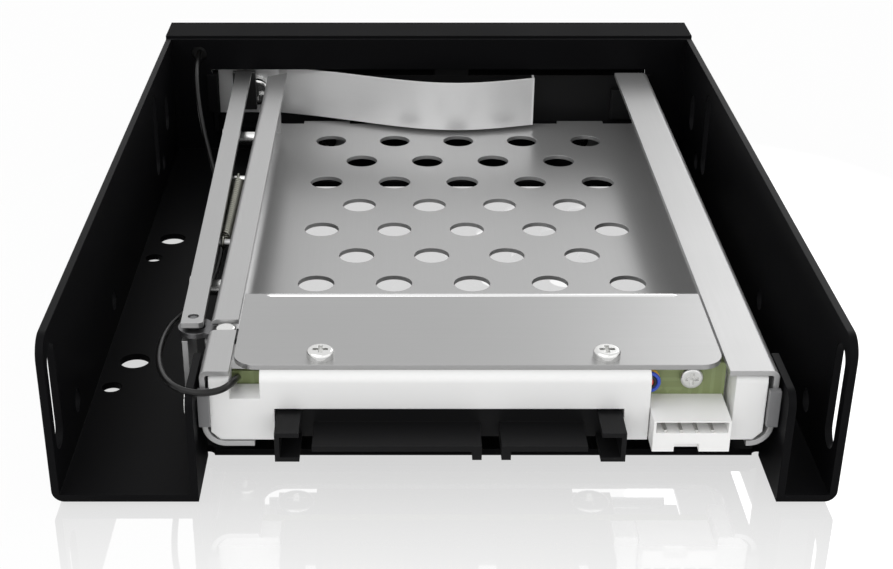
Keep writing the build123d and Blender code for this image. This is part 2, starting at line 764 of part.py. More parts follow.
# Receptacle for the drive, open to the front, with screw ears
slot_low = socket_tongue_z - tongue_thickness / 2 - slot_margin
slot_high = socket_tongue_z + tongue_thickness / 2 + slot_margin
socket_front_depth = board_front_depth + socket_depth
slot_rear_depth = socket_front_depth - socket_slot_depth
with BuildPart() as drive_sata_connector:
    block(connector_centre - socket_half, connector_centre + socket_half, board_front_depth,
          socket_front_depth, socket_bottom, socket_top)
    block(connector_centre - socket_ear_half, connector_centre + socket_ear_half, board_front_depth,
          board_front_depth + socket_ear_depth, socket_bottom, socket_ear_top)
    for high, low in tongues:
        block(low - slot_margin, high + slot_margin, slot_rear_depth, socket_front_depth + overrun,
              slot_low, slot_high, Mode.SUBTRACT)
    for key_low in (power_tongue[1], signal_tongue[0] - key_width):
        block(key_low - slot_margin, key_low + key_width + slot_margin, slot_rear_depth,
              socket_front_depth + overrun, socket_bottom + guide_wall, slot_high, Mode.SUBTRACT)
    with BuildSketch(Plane.XY.offset(socket_bottom)):
        with Locations(*[(x, at_depth(holder_screw_depth)) for x in boss_xs]):
            Circle(holder_screw_size[2] / 2)
    extrude(amount=socket_ear_top - socket_bottom, mode=Mode.SUBTRACT)
    mouth = edges().filter_by(Axis.X).group_by(Axis.Y)[0].group_by(Axis.Z)[-1]
    chamfer(mouth, length=guide_wall)
save(drive_sata_connector, "drive_sata_connector")

with BuildPart() as drive_contacts:
    for x in contact_xs:
        block(x - rear_contact_width / 2, x + rear_contact_width / 2, slot_rear_depth,
              socket_front_depth - contact_setback, slot_high - rear_contact_thickness, slot_high)
save(drive_contacts, "drive_contacts")

# Power header: a shell open to the rear with a longer notched floor, and four square pins on a shelf
header_power_edge = header_lever_edge - header_width
header_centre = header_lever_edge - header_width / 2
header_back_depth = board_rear_depth - header_back
with BuildPart() as power_header:
    with BuildSketch(Plane.YZ.offset(header_power_edge)):
        Polygon((at_depth(board_rear_depth), header_bottom), (at_depth(board_rear_depth), header_top),
                (at_depth(header_rear_depth), header_top),
                (at_depth(header_lip_depth), header_bottom + header_wall),
                (at_depth(header_lip_depth), header_bottom), align=None)
    extrude(amount=header_width)
    block(header_power_edge + header_wall, header_lever_edge - header_wall, header_lip_depth - overrun,
          header_back_depth, header_bottom + header_wall, header_top - header_wall, Mode.SUBTRACT)
    block(header_power_edge + header_wall, header_lever_edge - header_wall, header_shelf_depth,
          header_back_depth, header_bottom + header_wall, header_shelf_z)
    block(header_centre - header_notch / 2, header_centre + header_notch / 2, header_lip_depth - overrun,
          header_lip_depth + header_notch_depth, header_bottom - overrun, header_bottom + header_wall,
          Mode.SUBTRACT)
    pin_xs = [header_centre + header_pin_shift + (i - (header_pin_count - 1) / 2) * header_pin_pitch
              for i in range(header_pin_count)]
    for x in pin_xs:
        block(x - header_pin / 2, x + header_pin / 2, header_back_depth, board_rear_depth,
              header_shelf_z, header_shelf_z + header_pin, Mode.SUBTRACT)
save(power_header, "power_header")

with BuildPart() as header_pins:
    for x in pin_xs:
        block(x - header_pin / 2, x + header_pin / 2, header_shelf_depth, board_rear_depth,
              header_shelf_z, header_shelf_z + header_pin)
save(header_pins, "header_pins")

# Four thin wires that bend out of the holder's wall beside the header
for wire_name, (bend, diameter, depth) in wires.items():
    with BuildPart() as wire:
        with BuildLine(across(depth)) as wire_line:
            CenterArc((holder_power_edge, wire_z), bend, 90, 180)
        with BuildSketch(Plane(origin=wire_line.line @ 0, z_dir=wire_line.line % 0)):
            Circle(diameter / 2)
        sweep(path=wire_line.line)
    save(wire, wire_name)


# Front bezel: a frame hollowed from behind, a sill plate with hooks, two posts with barbs
half_bezel = bezel_width / 2
opening_power_x = door_power_edge - door_gap
opening_lever_x = door_lever_edge + door_gap
hollow_bottom = door_opening_top + frame_wall
hollow_top = bezel_top - bezel_wall
pipe_xs = [light_board_x + side * light_pipe_spacing / 2 for side in (-1, 1)]
riser_depth = bracket_length + riser
hook_depth = wall_depth - hook_sheet
board_low = light_board_z - light_board_height / 2
board_high = light_board_z + light_board_height / 2
with BuildPart() as front_bezel:
    block(-half_bezel, half_bezel, bracket_length, bezel_front_depth, bezel_bottom, bezel_top)
    front_edges = faces().sort_by(Axis.Y)[0].edges()
    chamfer(front_edges, length=bezel_edge)
    block(opening_power_x, opening_lever_x, bracket_length - overrun, bezel_front_depth + overrun,
          door_opening_sill, door_opening_top, Mode.SUBTRACT)
    block(-half_bezel + bezel_wall, half_bezel - bezel_wall, bracket_length - overrun,
          bezel_front_depth - bezel_wall, hollow_bottom, hollow_top, Mode.SUBTRACT)
    block(-half_bezel + bezel_wall, opening_power_x - frame_wall, bracket_length - overrun,
          bezel_front_depth - bezel_wall, door_opening_sill, hollow_top, Mode.SUBTRACT)
    block(-sill_half, sill_half, bracket_length, riser_depth, door_opening_sill, sill_top)
    for x in hook_xs:
        block(x - hook_width / 2, x + hook_width / 2, hook_depth, bracket_length,
              wall_opening_bottom, sill_top)
        block(x - hook_width / 2, x + hook_width / 2, hook_depth, wall_depth,
              wall_opening_bottom - hook_barb, wall_opening_bottom)
    for side in (-1, 1):
        low, high = sorted((side * post_reach, side * (post_reach - post_thickness)))
        block(low, high, hook_depth, riser_depth, wall_opening_bottom, post_top)
        low, high = sorted((side * post_reach, side * (post_reach + post_barb)))
        block(low, high, hook_depth, wall_depth, post_barb_bottom, post_top)
    # slot that holds the light board, and the light pipes' holes
    for low, high in ((hollow_bottom, board_low), (board_high, hollow_top)):
        block(light_board_x - light_board_width / 2, light_board_x + light_board_width / 2,
              light_board_rear_depth, light_board_rear_depth + light_board_sheet, low, high)
    with BuildSketch(across(bezel_front_depth)):
        with Locations(*[(x, light_board_z) for x in pipe_xs]):
            Circle(light_pipe / 2)
    extrude(amount=-2 * bezel_wall, mode=Mode.SUBTRACT)
    # bores for the door's pins
    for low, high in ((hinge_low, door_opening_sill), (door_opening_top, hollow_bottom)):
        with Locations((hinge_x, at_depth(hinge_depth), (low + high) / 2)):
            Cylinder(hinge_pin / 2 + hinge_clearance, high - low, mode=Mode.SUBTRACT)
save(front_bezel, "front_bezel")

# Door: skin, rim of a shallow box open to the rear, and the hinge knuckle
knuckle = door_lever_edge - hinge_x
box_power_x = door_power_edge + door_box_margin
box_lever_x = hinge_x - door_box_margin
liner_front_depth = door_rear_depth + liner
skin_rear_depth = door_front_depth - door_skin
with BuildPart() as door:
    with BuildSketch(Plane.XY.offset(door_bottom)):
        with Locations((hinge_x, at_depth(hinge_depth))):
            Circle(knuckle)
        with Locations(((door_power_edge + hinge_x) / 2, at_depth(door_front_depth - door_skin / 2))):
            Rectangle(hinge_x - door_power_edge, door_skin)
    extrude(amount=door_top - door_bottom)
    block(box_power_x, box_lever_x, liner_front_depth, skin_rear_depth, door_box_bottom, door_box_top)
    block(box_power_x + door_box_margin, box_lever_x - door_box_margin, liner_front_depth - overrun,
          skin_rear_depth, door_box_bottom + door_box_margin, door_box_top - door_box_margin, Mode.SUBTRACT)
    with BuildSketch(across(door_front_depth)):
        with Locations((pull_x, (door_bottom + door_top) / 2)):
            SlotOverall(pull_width, pull_height)
    extrude(amount=-pull_sink, mode=Mode.SUBTRACT)
    for z in (door_bottom, door_top):
        with Locations((hinge_x, at_depth(hinge_depth), z)):
            Cylinder(hinge_pin / 2, hinge_pin_length, mode=Mode.SUBTRACT)
    door_edges = edges().filter_by(Axis.X).group_by(Axis.Y)[0]
    outer_edges = door_edges.sort_by(Axis.Z)
    chamfer([outer_edges[0], outer_edges[-1]], length=door_edge)
save(door, "door")

# Liner that closes the door's box, with the stop block on its top
with BuildPart() as door_liner:
    block(box_power_x, box_lever_x, door_rear_depth, liner_front_depth, door_box_bottom, door_box_top)
    with BuildSketch(across(door_rear_depth)):
        with Locations((leaf_screw_x, leaf_screw_z)):
            Circle(leaf_screw_size[2] / 2 + leaf_hole_play)
    extrude(amount=liner, mode=Mode.SUBTRACT)
save(door_liner, "door_liner")

with BuildPart() as door_stop:
    block(rib_x - rib_width / 2, rib_x + rib_width / 2, door_rear_depth, door_rear_depth + rib_depth,
          door_box_top, rib_top)
    fillet(edges().filter_by(Axis.Z), radius=rib_round)
save(door_stop, "door_stop")

with BuildPart() as door_catch:
    block(catch_x - catch_width / 2, catch_x + catch_width / 2, door_rear_depth - catch_depth,
          door_rear_depth, catch_z - catch_height / 2, catch_z + catch_height / 2)
    rear_edges = edges().filter_by(Axis.Z).group_by(Axis.Y)[-1]
    chamfer(rear_edges, length=rib_round)
save(door_catch, "door_catch")

with BuildPart() as door_pins:
    for z in (door_bottom, door_top):
        with Locations((hinge_x, at_depth(hinge_depth), z)):
            Cylinder(hinge_pin / 2, hinge_pin_length)
save(door_pins, "door_pins")

# Leaf spring on the door's inner face: a flat root, a bow into the mouth and a folded end
leaf_centre = door_rear_depth - leaf_sheet / 2
with BuildPart() as leaf_spring:
    block(leaf_bend_x, leaf_root, door_rear_depth - leaf_sheet, door_rear_depth, leaf_bottom, leaf_top)
    bow = Spline((leaf_bend_x, at_depth(leaf_centre)), (leaf_bow_x, at_depth(leaf_bow_depth)),
                 (leaf_end_x, at_depth(leaf_end_depth)), tangents=((-1, leaf_slope), (-1, -leaf_end_slope)))
    places = [bow @ (i / leaf_steps) for i in range(leaf_steps + 1)]
    sides = [(bow % (i / leaf_steps)).rotate(Axis.Z, 90) * (leaf_sheet / 2) for i in range(leaf_steps + 1)]
    with BuildSketch(Plane.XY.offset(leaf_bottom)):
        with BuildLine():
            front_side = Spline(*[place + side for place, side in zip(places, sides)])
            rear_side = Spline(*[place - side for place, side in zip(places, sides)])
            Line(front_side @ 0, rear_side @ 0)
            Line(front_side @ 1, rear_side @ 1)
        make_face()
    extrude(amount=leaf_top - leaf_bottom)
    block(leaf_end_x - leaf_sheet, leaf_end_x, leaf_end_depth - leaf_sheet / 2, leaf_end_depth + leaf_fold,
          leaf_bottom, leaf_top)
    with BuildSketch(across(door_rear_depth - leaf_sheet)):
        with Locations((leaf_screw_x, leaf_screw_z)):
            Circle(leaf_screw_size[2] / 2)
    extrude(amount=leaf_sheet, mode=Mode.SUBTRACT)
save(leaf_spring, "leaf_spring")

with BuildPart() as leaf_screw:
    pan_head_screw(Plane(origin=(leaf_screw_x, at_depth(door_rear_depth - leaf_sheet), leaf_screw_z),
                         z_dir=(0, 1, 0)), leaf_screw_size)
save(leaf_screw, "leaf_screw")


# Push bar: an angled strip beside the cage with a slotted web and a deeper tail
bar_slope = (bar_front_outer - bar_rear_outer) / (bar_front_depth - bar_rear_depth)


def bar_outer(depth):
    """X of the bar's outer face at a depth."""
    return bar_rear_outer + bar_slope * (depth - bar_rear_depth)


def bar_strip(rear_depth, front_depth, width, z_low, z_high, mode=Mode.ADD):
    """A strip along the bar's outer face, slanted as the bar is."""
    corners = [(bar_outer(rear_depth), at_depth(rear_depth)), (bar_outer(front_depth), at_depth(front_depth)),
               (bar_outer(front_depth) - width, at_depth(front_depth)),
               (bar_outer(rear_depth) - width, at_depth(rear_depth))]
    with BuildSketch(Plane.XY.offset(z_low)) as strip:
        Polygon(*corners, align=None)
    extrude(strip.sketch, amount=z_high - z_low, mode=mode)


bar_post_depth = spring_rear_depth + loop_radius
spring_post_depth = spring_front_depth - loop_radius
web_inner = [bar_outer(depth) - bar_sheet for depth in guide_depths]
with BuildPart() as push_bar:
    bar_strip(bar_rear_depth, bar_front_depth, bar_width, cage_top - bar_sheet, cage_top)
    bar_strip(bar_rear_depth, bar_front_depth, bar_sheet, bar_web_bottom, cage_top)
    bar_strip(bar_rear_depth, bar_tail_depth, bar_sheet, bar_tail_bottom, bar_web_bottom)
    block(bar_rear_outer - 2 * bar_sheet, bar_rear_outer + bar_sheet, bar_rear_depth - overrun,
          bar_notch_depth, bar_tail_top, cage_top - bar_sheet, Mode.SUBTRACT)
    with BuildSketch(Plane.YZ.offset(bar_rear_outer - 2 * bar_sheet)):
        with Locations(*[(at_depth(depth) - bar_travel / 2, guide_z) for depth in guide_depths]):
            SlotOverall(bar_travel + guide_shank + 4 * guide_gap, guide_shank + 2 * guide_gap)
    extrude(amount=bar_width + bar_front_outer - bar_rear_outer, mode=Mode.SUBTRACT)
    with BuildSketch(Plane.YZ.offset(spring_x - post_diameter)):
        with Locations((at_depth(bar_post_depth), spring_z)):
            Circle(post_diameter / 2)
    extrude(amount=bar_outer(bar_post_depth) - bar_sheet / 2 - spring_x + post_diameter)
    with Locations((pin_x, at_depth(pin_depth), cage_top)):
        Cylinder(bar_pin / 2, 2 * bar_width, mode=Mode.SUBTRACT)
    corner = edges().filter_by(Axis.Z).group_by(Axis.Y)[-1].sort_by(Axis.X)[0]
    fillet(corner, radius=bar_corner)
save(push_bar, "push_bar")

with BuildPart() as bar_pin_part:
    pin_top = cage_top - pin_recess
    with Locations((pin_x, at_depth(pin_depth), (bar_pin_bottom + pin_top) / 2)):
        Cylinder(bar_pin / 2, pin_top - bar_pin_bottom)
    chamfer(edges().filter_by(GeomType.CIRCLE), length=pin_recess)
save(bar_pin_part, "bar_pin")

# Button cap on the bar's front end
with BuildPart() as eject_button:
    block(button_x - button_width / 2, button_x + button_width / 2, bar_front_depth, button_front_depth,
          button_bottom, button_bottom + button_height)
    fillet(edges().group_by(Axis.Y)[0], radius=button_round)
save(eject_button, "eject_button")

# Eject lever: a bell crank with a slotted round end, an inner arm and a down-turned tip
pin_reach = pin_x - pivot_x
far_radius = hypot(pin_reach, pin_depth - pivot_depth)
slot_centre_radius = (far_radius + pin_reach) / 2
slot_angle = -degrees(atan2(pin_depth - pivot_depth, pin_reach))
pivot_y = at_depth(pivot_depth)
eye_x = pivot_x + slot_centre_radius * cos(radians(slot_angle))
eye_y = pivot_y + slot_centre_radius * sin(radians(slot_angle))
slot_width = bar_pin + 2 * slot_clearance
slot_span = far_radius - pin_reach + slot_width + 2 * rivet_clearance
with BuildPart() as eject_lever:
    with BuildSketch(Plane.XY.offset(lever_underside)):
        with Locations((eye_x, eye_y)):
            Circle(lever_eye)
        with Locations((pivot_x, pivot_y)):
            Circle(lever_hub)
        Polygon((pivot_x, pivot_y + lever_hub), (eye_x, eye_y + lever_hub),
                (eye_x, eye_y - lever_hub), (pivot_x, pivot_y - lever_hub), align=None)
        Polygon((pivot_x, pivot_y + lever_hub), (lever_tip_x, at_depth(lever_tip_depth) + lever_tip_half),
                (lever_tip_x, at_depth(lever_tip_depth) - lever_tip_half), (pivot_x, pivot_y - lever_hub),
                align=None)
        with Locations((lever_tip_x, at_depth(lever_tip_depth))):
            Circle(lever_tip_half)
        with Locations((pivot_x, pivot_y)):
            Circle(rivet_shank / 2 + rivet_clearance, mode=Mode.SUBTRACT)
        with Locations(Location((eye_x, eye_y), slot_angle)):
            SlotOverall(slot_span, slot_width, mode=Mode.SUBTRACT)
    extrude(amount=lever_sheet)
    tip_front_depth = lever_tip_depth + lever_tip_half
    block(lever_tip_x - lever_tip_half, lever_tip_x + lever_tip_half, tip_front_depth - lever_sheet,
          tip_front_depth, lever_tip_bottom, lever_underside + lever_sheet)
save(eject_lever, "eject_lever")

with BuildPart() as lever_rivet:
    rivet_low = lever_underside - lever_gap - pivot_tab
    rivet_shoulder = lever_underside + lever_sheet + lever_gap
    with BuildSketch(Plane.XY.offset(rivet_low)):
        with Locations((pivot_x, pivot_y)):
            Circle(rivet_shank / 2)
    extrude(amount=rivet_shoulder - rivet_low)
    with BuildSketch(Plane.XY.offset(rivet_shoulder)):
        with Locations((pivot_x, pivot_y)):
            Circle(rivet_head / 2)
    extrude(amount=rivet_head_height)
    fillet(edges().filter_by(GeomType.CIRCLE).group_by(Axis.Z)[-1], radius=rivet_round)
save(lever_rivet, "lever_rivet")

# Guide studs, riveted through the cage wall
with BuildPart() as guide_studs:
    for depth, inner in zip(guide_depths, web_inner):
        outer = inner + bar_sheet + guide_gap
        for start, end, size in ((cage_lever_x - cage_sheet, outer, guide_shank),
                                 (cage_lever_x, inner - guide_gap, guide_shoulder),
                                 (outer, outer + guide_head_height, guide_head)):
            with BuildSketch(Plane.YZ.offset(start)):
                with Locations((at_depth(depth), guide_z)):
                    Circle(size / 2)
            extrude(amount=end - start)
save(guide_studs, "guide_studs")

# Return spring: a close coil drawn as a tube, closed ends and two hook loops around the posts
coil_rear_depth = bar_post_depth + loop_radius + hook_reach
coil_front_depth = spring_post_depth - loop_radius - hook_reach
with BuildPart() as return_spring:
    with BuildSketch(across(coil_rear_depth)):
        with Locations((spring_x, spring_z)):
            Circle(spring_outer / 2)
    extrude(amount=coil_front_depth - coil_rear_depth)
    with BuildSketch(across(coil_rear_depth + spring_wire)):
        with Locations((spring_x, spring_z)):
            Circle(spring_outer / 2 - spring_wire)
    extrude(amount=coil_front_depth - coil_rear_depth - 2 * spring_wire, mode=Mode.SUBTRACT)
    for post_depth, start, end in ((bar_post_depth, bar_post_depth + loop_radius, coil_rear_depth),
                                   (spring_post_depth, coil_front_depth, spring_post_depth - loop_radius)):
        with Locations(Location((spring_x, at_depth(post_depth), spring_z), (0, 90, 0))):
            Torus(loop_radius, spring_wire / 2)
        with BuildSketch(across(start)):
            with Locations((spring_x, spring_z)):
                Circle(spring_wire / 2)
        extrude(amount=end - start)
save(return_spring, "return_spring")

with BuildPart() as spring_post:
    with BuildSketch(Plane.YZ.offset(cage_lever_x)):
        with Locations((at_depth(spring_post_depth), spring_z)):
            Circle(post_diameter / 2)
    extrude(amount=post_length)
    chamfer(edges().filter_by(GeomType.CIRCLE).group_by(Axis.X)[-1], length=pin_recess)
save(spring_post, "spring_post")

# Light board, light pipes and the black lead
with BuildPart() as light_board:
    block(light_board_x - light_board_width / 2, light_board_x + light_board_width / 2,
          light_board_rear_depth, light_board_rear_depth + light_board_sheet, board_low, board_high)
save(light_board, "light_board")

with BuildPart() as light_pipes:
    with BuildSketch(across(light_board_rear_depth + light_board_sheet)):
        with Locations(*[(x, light_board_z) for x in pipe_xs]):
            Circle(light_pipe / 2)
    extrude(amount=bezel_front_depth - light_board_rear_depth - light_board_sheet)
save(light_pipes, "light_pipes")

with BuildPart() as led_lead:
    with BuildLine() as lead_line:
        Spline(*lead_route, tangents=((0, 1, 0), (0, -1, 0)), tangent_scalars=(lead_end_pull, lead_end_pull))
    lead_path = lead_line.line
    with BuildSketch(Plane(origin=lead_path @ 0, z_dir=lead_path % 0)):
        Circle(lead_diameter / 2)
    sweep(path=lead_path)
save(led_lead, "led_lead")


def arc_radius(first, second, third):
    """Radius of the circle through three places."""
    a, b, c = (first - second).length, (second - third).length, (third - first).length
    half = (a + b + c) / 2
    area_squared = half * (half - a) * (half - b) * (half - c)
    return a * b * c / (4 * area_squared ** 0.5) if area_squared > 0 else float("inf")


samples = [lead_path @ (i / arc_samples) for i in range(arc_samples + 1)]
radii = [arc_radius(*samples[i - 1:i + 2]) for i in range(1, arc_samples)]
print("lead arc radii in mm:", [round(radius, 1) for radius in radii])
print("tightest:", round(min(radii), 2), "lever turn in degrees:",
      round(degrees(atan2(bar_travel - pin_depth + pivot_depth, pin_reach)) - slot_angle, 2))
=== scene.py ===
# %% [markdown]
# # A hot swap drive cage, dressed around its CAD model
#
# The object is a folded black bay bracket that carries a bare steel tray for one 2.5 inch drive. At the
# back a white holder keeps a circuit board and its connectors, and a push bar with a lever throws the drive
# out towards a side-hinged door. The CAD model already has every rigid shape, so this lesson is mostly about
# finishes: how bare sheet steel, black paint and moulded plastic differ, and how few nodes each one needs.

from math import pi, radians

import bmesh
import bpy
from mathutils import Matrix, Vector


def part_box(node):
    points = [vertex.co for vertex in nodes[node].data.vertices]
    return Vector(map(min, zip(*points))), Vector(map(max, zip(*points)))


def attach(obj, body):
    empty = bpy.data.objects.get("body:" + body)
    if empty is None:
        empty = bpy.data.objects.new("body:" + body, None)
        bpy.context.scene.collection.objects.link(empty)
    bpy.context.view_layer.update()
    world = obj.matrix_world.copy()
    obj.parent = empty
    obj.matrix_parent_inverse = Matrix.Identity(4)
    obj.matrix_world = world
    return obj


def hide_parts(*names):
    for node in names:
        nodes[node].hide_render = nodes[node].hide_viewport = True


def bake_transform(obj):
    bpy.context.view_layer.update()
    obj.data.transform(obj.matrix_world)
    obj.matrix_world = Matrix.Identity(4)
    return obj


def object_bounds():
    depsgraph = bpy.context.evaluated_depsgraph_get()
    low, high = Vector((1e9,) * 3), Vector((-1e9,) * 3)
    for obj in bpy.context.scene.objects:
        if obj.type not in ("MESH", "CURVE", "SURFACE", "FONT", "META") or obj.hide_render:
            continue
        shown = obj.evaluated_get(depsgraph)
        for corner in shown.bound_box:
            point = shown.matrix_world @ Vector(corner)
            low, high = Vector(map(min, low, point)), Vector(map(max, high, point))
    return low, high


MM = 0.001
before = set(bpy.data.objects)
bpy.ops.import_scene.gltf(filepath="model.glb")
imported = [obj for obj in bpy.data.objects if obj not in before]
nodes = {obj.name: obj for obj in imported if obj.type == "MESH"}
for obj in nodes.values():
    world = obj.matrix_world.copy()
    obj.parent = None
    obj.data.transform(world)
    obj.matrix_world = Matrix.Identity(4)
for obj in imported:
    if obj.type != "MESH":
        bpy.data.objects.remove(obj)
cad_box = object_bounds()

# %% [markdown]
# ## Patterns shared by many finishes
#
# A finish is more than a colour. Paint has a fine orange skin, sheet steel has rolling lines, moulded plastic
# has a sparkle from its mould. Each of these effects is one shader node group with named inputs, so every
# material can place it with its own values. All of them read Object coordinates, because those stay with the
# piece when it moves, and every object here sits at the origin.

# %% A helper that starts a shader group
def shader_group(name, inputs, outputs):
    """An empty shader group with its sockets, and its input and output nodes."""
    group = bpy.data.node_groups.new(name, "ShaderNodeTree")
    for label, kind, value in inputs:
        socket = group.interface.new_socket(name=label, in_out="INPUT", socket_type=kind)
        socket.default_value = value
    for label, kind in outputs:
        group.interface.new_socket(name=label, in_out="OUTPUT", socket_type=kind)
    start = group.nodes.new("NodeGroupInput")
    end = group.nodes.new("NodeGroupOutput")
    return group, start, end


def add(tree, kind, **settings):
    """A node with some of its settings and input values filled in."""
    node = tree.nodes.new(kind)
    for key, value in settings.items():
        if key.startswith("in_"):
            node.inputs[int(key[3:])].default_value = value
        else:
            setattr(node, key, value)
    return node


# %% [markdown]
# **Grain** is the fine relief of paint and moulded plastic. Two noises of different size are mixed, because
# one noise alone looks like a printed pattern. The group gives a height for a Bump node, and a small change
# of roughness that keeps large faces from looking like paper.

# %% Grain
grain, g_in, g_out = shader_group(
    "Grain",
    [("Scale", "NodeSocketFloat", 2500.0), ("Coarseness", "NodeSocketFloat", 0.35),
     ("Roughness", "NodeSocketFloat", 0.4), ("Variation", "NodeSocketFloat", 0.08)],
    [("Height", "NodeSocketFloat"), ("Roughness", "NodeSocketFloat")],
)
place = add(grain, "ShaderNodeTexCoord")
fine = add(grain, "ShaderNodeTexNoise", in_3=3.0, in_4=0.6)
broad_scale = add(grain, "ShaderNodeMath", operation="MULTIPLY", in_1=0.03)
broad = add(grain, "ShaderNodeTexNoise", in_3=2.0, in_4=0.5)
mixed = add(grain, "ShaderNodeMix", data_type="FLOAT")
centred = add(grain, "ShaderNodeMath", operation="SUBTRACT", in_1=0.5)
spread = add(grain, "ShaderNodeMath", operation="MULTIPLY_ADD")
grain.links.new(place.outputs["Object"], fine.inputs["Vector"])
grain.links.new(place.outputs["Object"], broad.inputs["Vector"])
grain.links.new(g_in.outputs["Scale"], fine.inputs["Scale"])
grain.links.new(g_in.outputs["Scale"], broad_scale.inputs[0])
grain.links.new(broad_scale.outputs[0], broad.inputs["Scale"])
grain.links.new(g_in.outputs["Coarseness"], mixed.inputs[0])
grain.links.new(fine.outputs[0], mixed.inputs[2])
grain.links.new(broad.outputs[0], mixed.inputs[3])
grain.links.new(mixed.outputs[0], g_out.inputs["Height"])
grain.links.new(broad.outputs[0], centred.inputs[0])
grain.links.new(centred.outputs[0], spread.inputs[0])
grain.links.new(g_in.outputs["Variation"], spread.inputs[1])
grain.links.new(g_in.outputs["Roughness"], spread.inputs[2])
grain.links.new(spread.outputs[0], g_out.inputs["Roughness"])
print("group:", grain.name)

# %% [markdown]
# **Rolled sheet** is the look of bright steel straight from the mill: very long, very fine lines along the
# rolling direction, and faint clouds where oil or handling changed the shine. A noise that is squeezed in one
# direction gives the lines. Stretching the coordinates does that, and a Mapping node is the plain way.

# %% Rolled sheet
rolled, r_in, r_out = shader_group(
    "Rolled sheet",
    [("Line scale", "NodeSocketVector", (6000.0, 60.0, 900.0)), ("Cloud scale", "NodeSocketFloat", 45.0),
     ("Tone", "NodeSocketColor", (0.5, 0.5, 0.51, 1.0)), ("Tone change", "NodeSocketFloat", 0.12),
     ("Roughness", "NodeSocketFloat", 0.3), ("Variation", "NodeSocketFloat", 0.12)],
    [("Color", "NodeSocketColor"), ("Roughness", "NodeSocketFloat"), ("Height", "NodeSocketFloat")],
)
place = add(rolled, "ShaderNodeTexCoord")
stretch = add(rolled, "ShaderNodeMapping")
lines = add(rolled, "ShaderNodeTexNoise", in_2=1.0, in_3=4.0, in_4=0.7)
clouds = add(rolled, "ShaderNodeTexNoise", in_3=3.0, in_4=0.55)
both = add(rolled, "ShaderNodeMix", data_type="FLOAT", in_0=0.45)
centred = add(rolled, "ShaderNodeMath", operation="SUBTRACT", in_1=0.5)
spread = add(rolled, "ShaderNodeMath", operation="MULTIPLY_ADD")
darker = add(rolled, "ShaderNodeMath", operation="MULTIPLY")
tone = add(rolled, "ShaderNodeMix", data_type="RGBA", blend_type="MULTIPLY")
grey = add(rolled, "ShaderNodeCombineColor")
lift = add(rolled, "ShaderNodeMath", operation="SUBTRACT", in_0=1.0)
rolled.links.new(place.outputs["Object"], stretch.inputs["Vector"])
rolled.links.new(r_in.outputs["Line scale"], stretch.inputs["Scale"])
rolled.links.new(stretch.outputs[0], lines.inputs["Vector"])
rolled.links.new(place.outputs["Object"], clouds.inputs["Vector"])
rolled.links.new(r_in.outputs["Cloud scale"], clouds.inputs["Scale"])
rolled.links.new(lines.outputs[0], both.inputs[2])
rolled.links.new(clouds.outputs[0], both.inputs[3])
rolled.links.new(both.outputs[0], centred.inputs[0])
rolled.links.new(centred.outputs[0], spread.inputs[0])
rolled.links.new(r_in.outputs["Variation"], spread.inputs[1])
rolled.links.new(r_in.outputs["Roughness"], spread.inputs[2])
rolled.links.new(spread.outputs[0], r_out.inputs["Roughness"])
rolled.links.new(both.outputs[0], darker.inputs[0])
rolled.links.new(r_in.outputs["Tone change"], darker.inputs[1])
rolled.links.new(darker.outputs[0], lift.inputs[1])
for channel in range(3):
    rolled.links.new(lift.outputs[0], grey.inputs[channel])
tone.inputs[0].default_value = 1.0
rolled.links.new(r_in.outputs["Tone"], tone.inputs[6])
rolled.links.new(grey.outputs[0], tone.inputs[7])
rolled.links.new(tone.outputs[2], r_out.inputs["Color"])
rolled.links.new(lines.outputs[0], r_out.inputs["Height"])
print("group:", rolled.name)

# %% [markdown]
# ** Edge light** is what tells the eye that a part was folded or moulded: no real edge is perfectly sharp, so
# each one catches a thin line of light. Rounding thousands of edges in the mesh would be heavy. The Bevel
# shader node rounds only the normal, and the difference between its normal and the true one also marks the
# edges, where a paler tone is mixed in, in noise patches, as a painted edge highlight.

# %% Edge light
edge_light, e_in, e_out = shader_group(
    "Edge light",
    [("Radius", "NodeSocketFloat", 0.00015), ("Color", "NodeSocketColor", (0.02, 0.02, 0.02, 1.0)),
     ("Worn color", "NodeSocketColor", (0.1, 0.1, 0.1, 1.0)), ("Wear", "NodeSocketFloat", 0.3)],
    [("Normal", "NodeSocketVector"), ("Color", "NodeSocketColor")],
)
bevel = add(edge_light, "ShaderNodeBevel", samples=6)
true_normal = add(edge_light, "ShaderNodeNewGeometry")
agree = add(edge_light, "ShaderNodeVectorMath", operation="DOT_PRODUCT")
edge = add(edge_light, "ShaderNodeMapRange", in_1=0.995, in_2=0.8, in_3=0.0, in_4=1.0)
place = add(edge_light, "ShaderNodeTexCoord")
patches = add(edge_light, "ShaderNodeTexNoise", in_2=420.0, in_3=3.0)
# A paler tone mixed in along edges, in noise patches: a painted edge highlight.
painted_highlight = add(edge_light, "ShaderNodeMath", operation="MULTIPLY")
amount = add(edge_light, "ShaderNodeMath", operation="MULTIPLY")
paint = add(edge_light, "ShaderNodeMix", data_type="RGBA")
edge_light.links.new(e_in.outputs["Radius"], bevel.inputs["Radius"])
edge_light.links.new(bevel.outputs[0], agree.inputs[0])
edge_light.links.new(true_normal.outputs["Normal"], agree.inputs[1])
edge_light.links.new(agree.outputs["Value"], edge.inputs[0])
edge_light.links.new(place.outputs["Object"], patches.inputs["Vector"])
edge_light.links.new(edge.outputs[0], painted_highlight.inputs[0])
edge_light.links.new(patches.outputs[0], painted_highlight.inputs[1])
edge_light.links.new(painted_highlight.outputs[0], amount.inputs[0])
edge_light.links.new(e_in.outputs["Wear"], amount.inputs[1])
edge_light.links.new(amount.outputs[0], paint.inputs[0])
edge_light.links.new(e_in.outputs["Color"], paint.inputs[6])
edge_light.links.new(e_in.outputs["Worn color"], paint.inputs[7])
edge_light.links.new(bevel.outputs[0], e_out.inputs["Normal"])
edge_light.links.new(paint.outputs[2], e_out.inputs["Color"])
print("group:", edge_light.name)

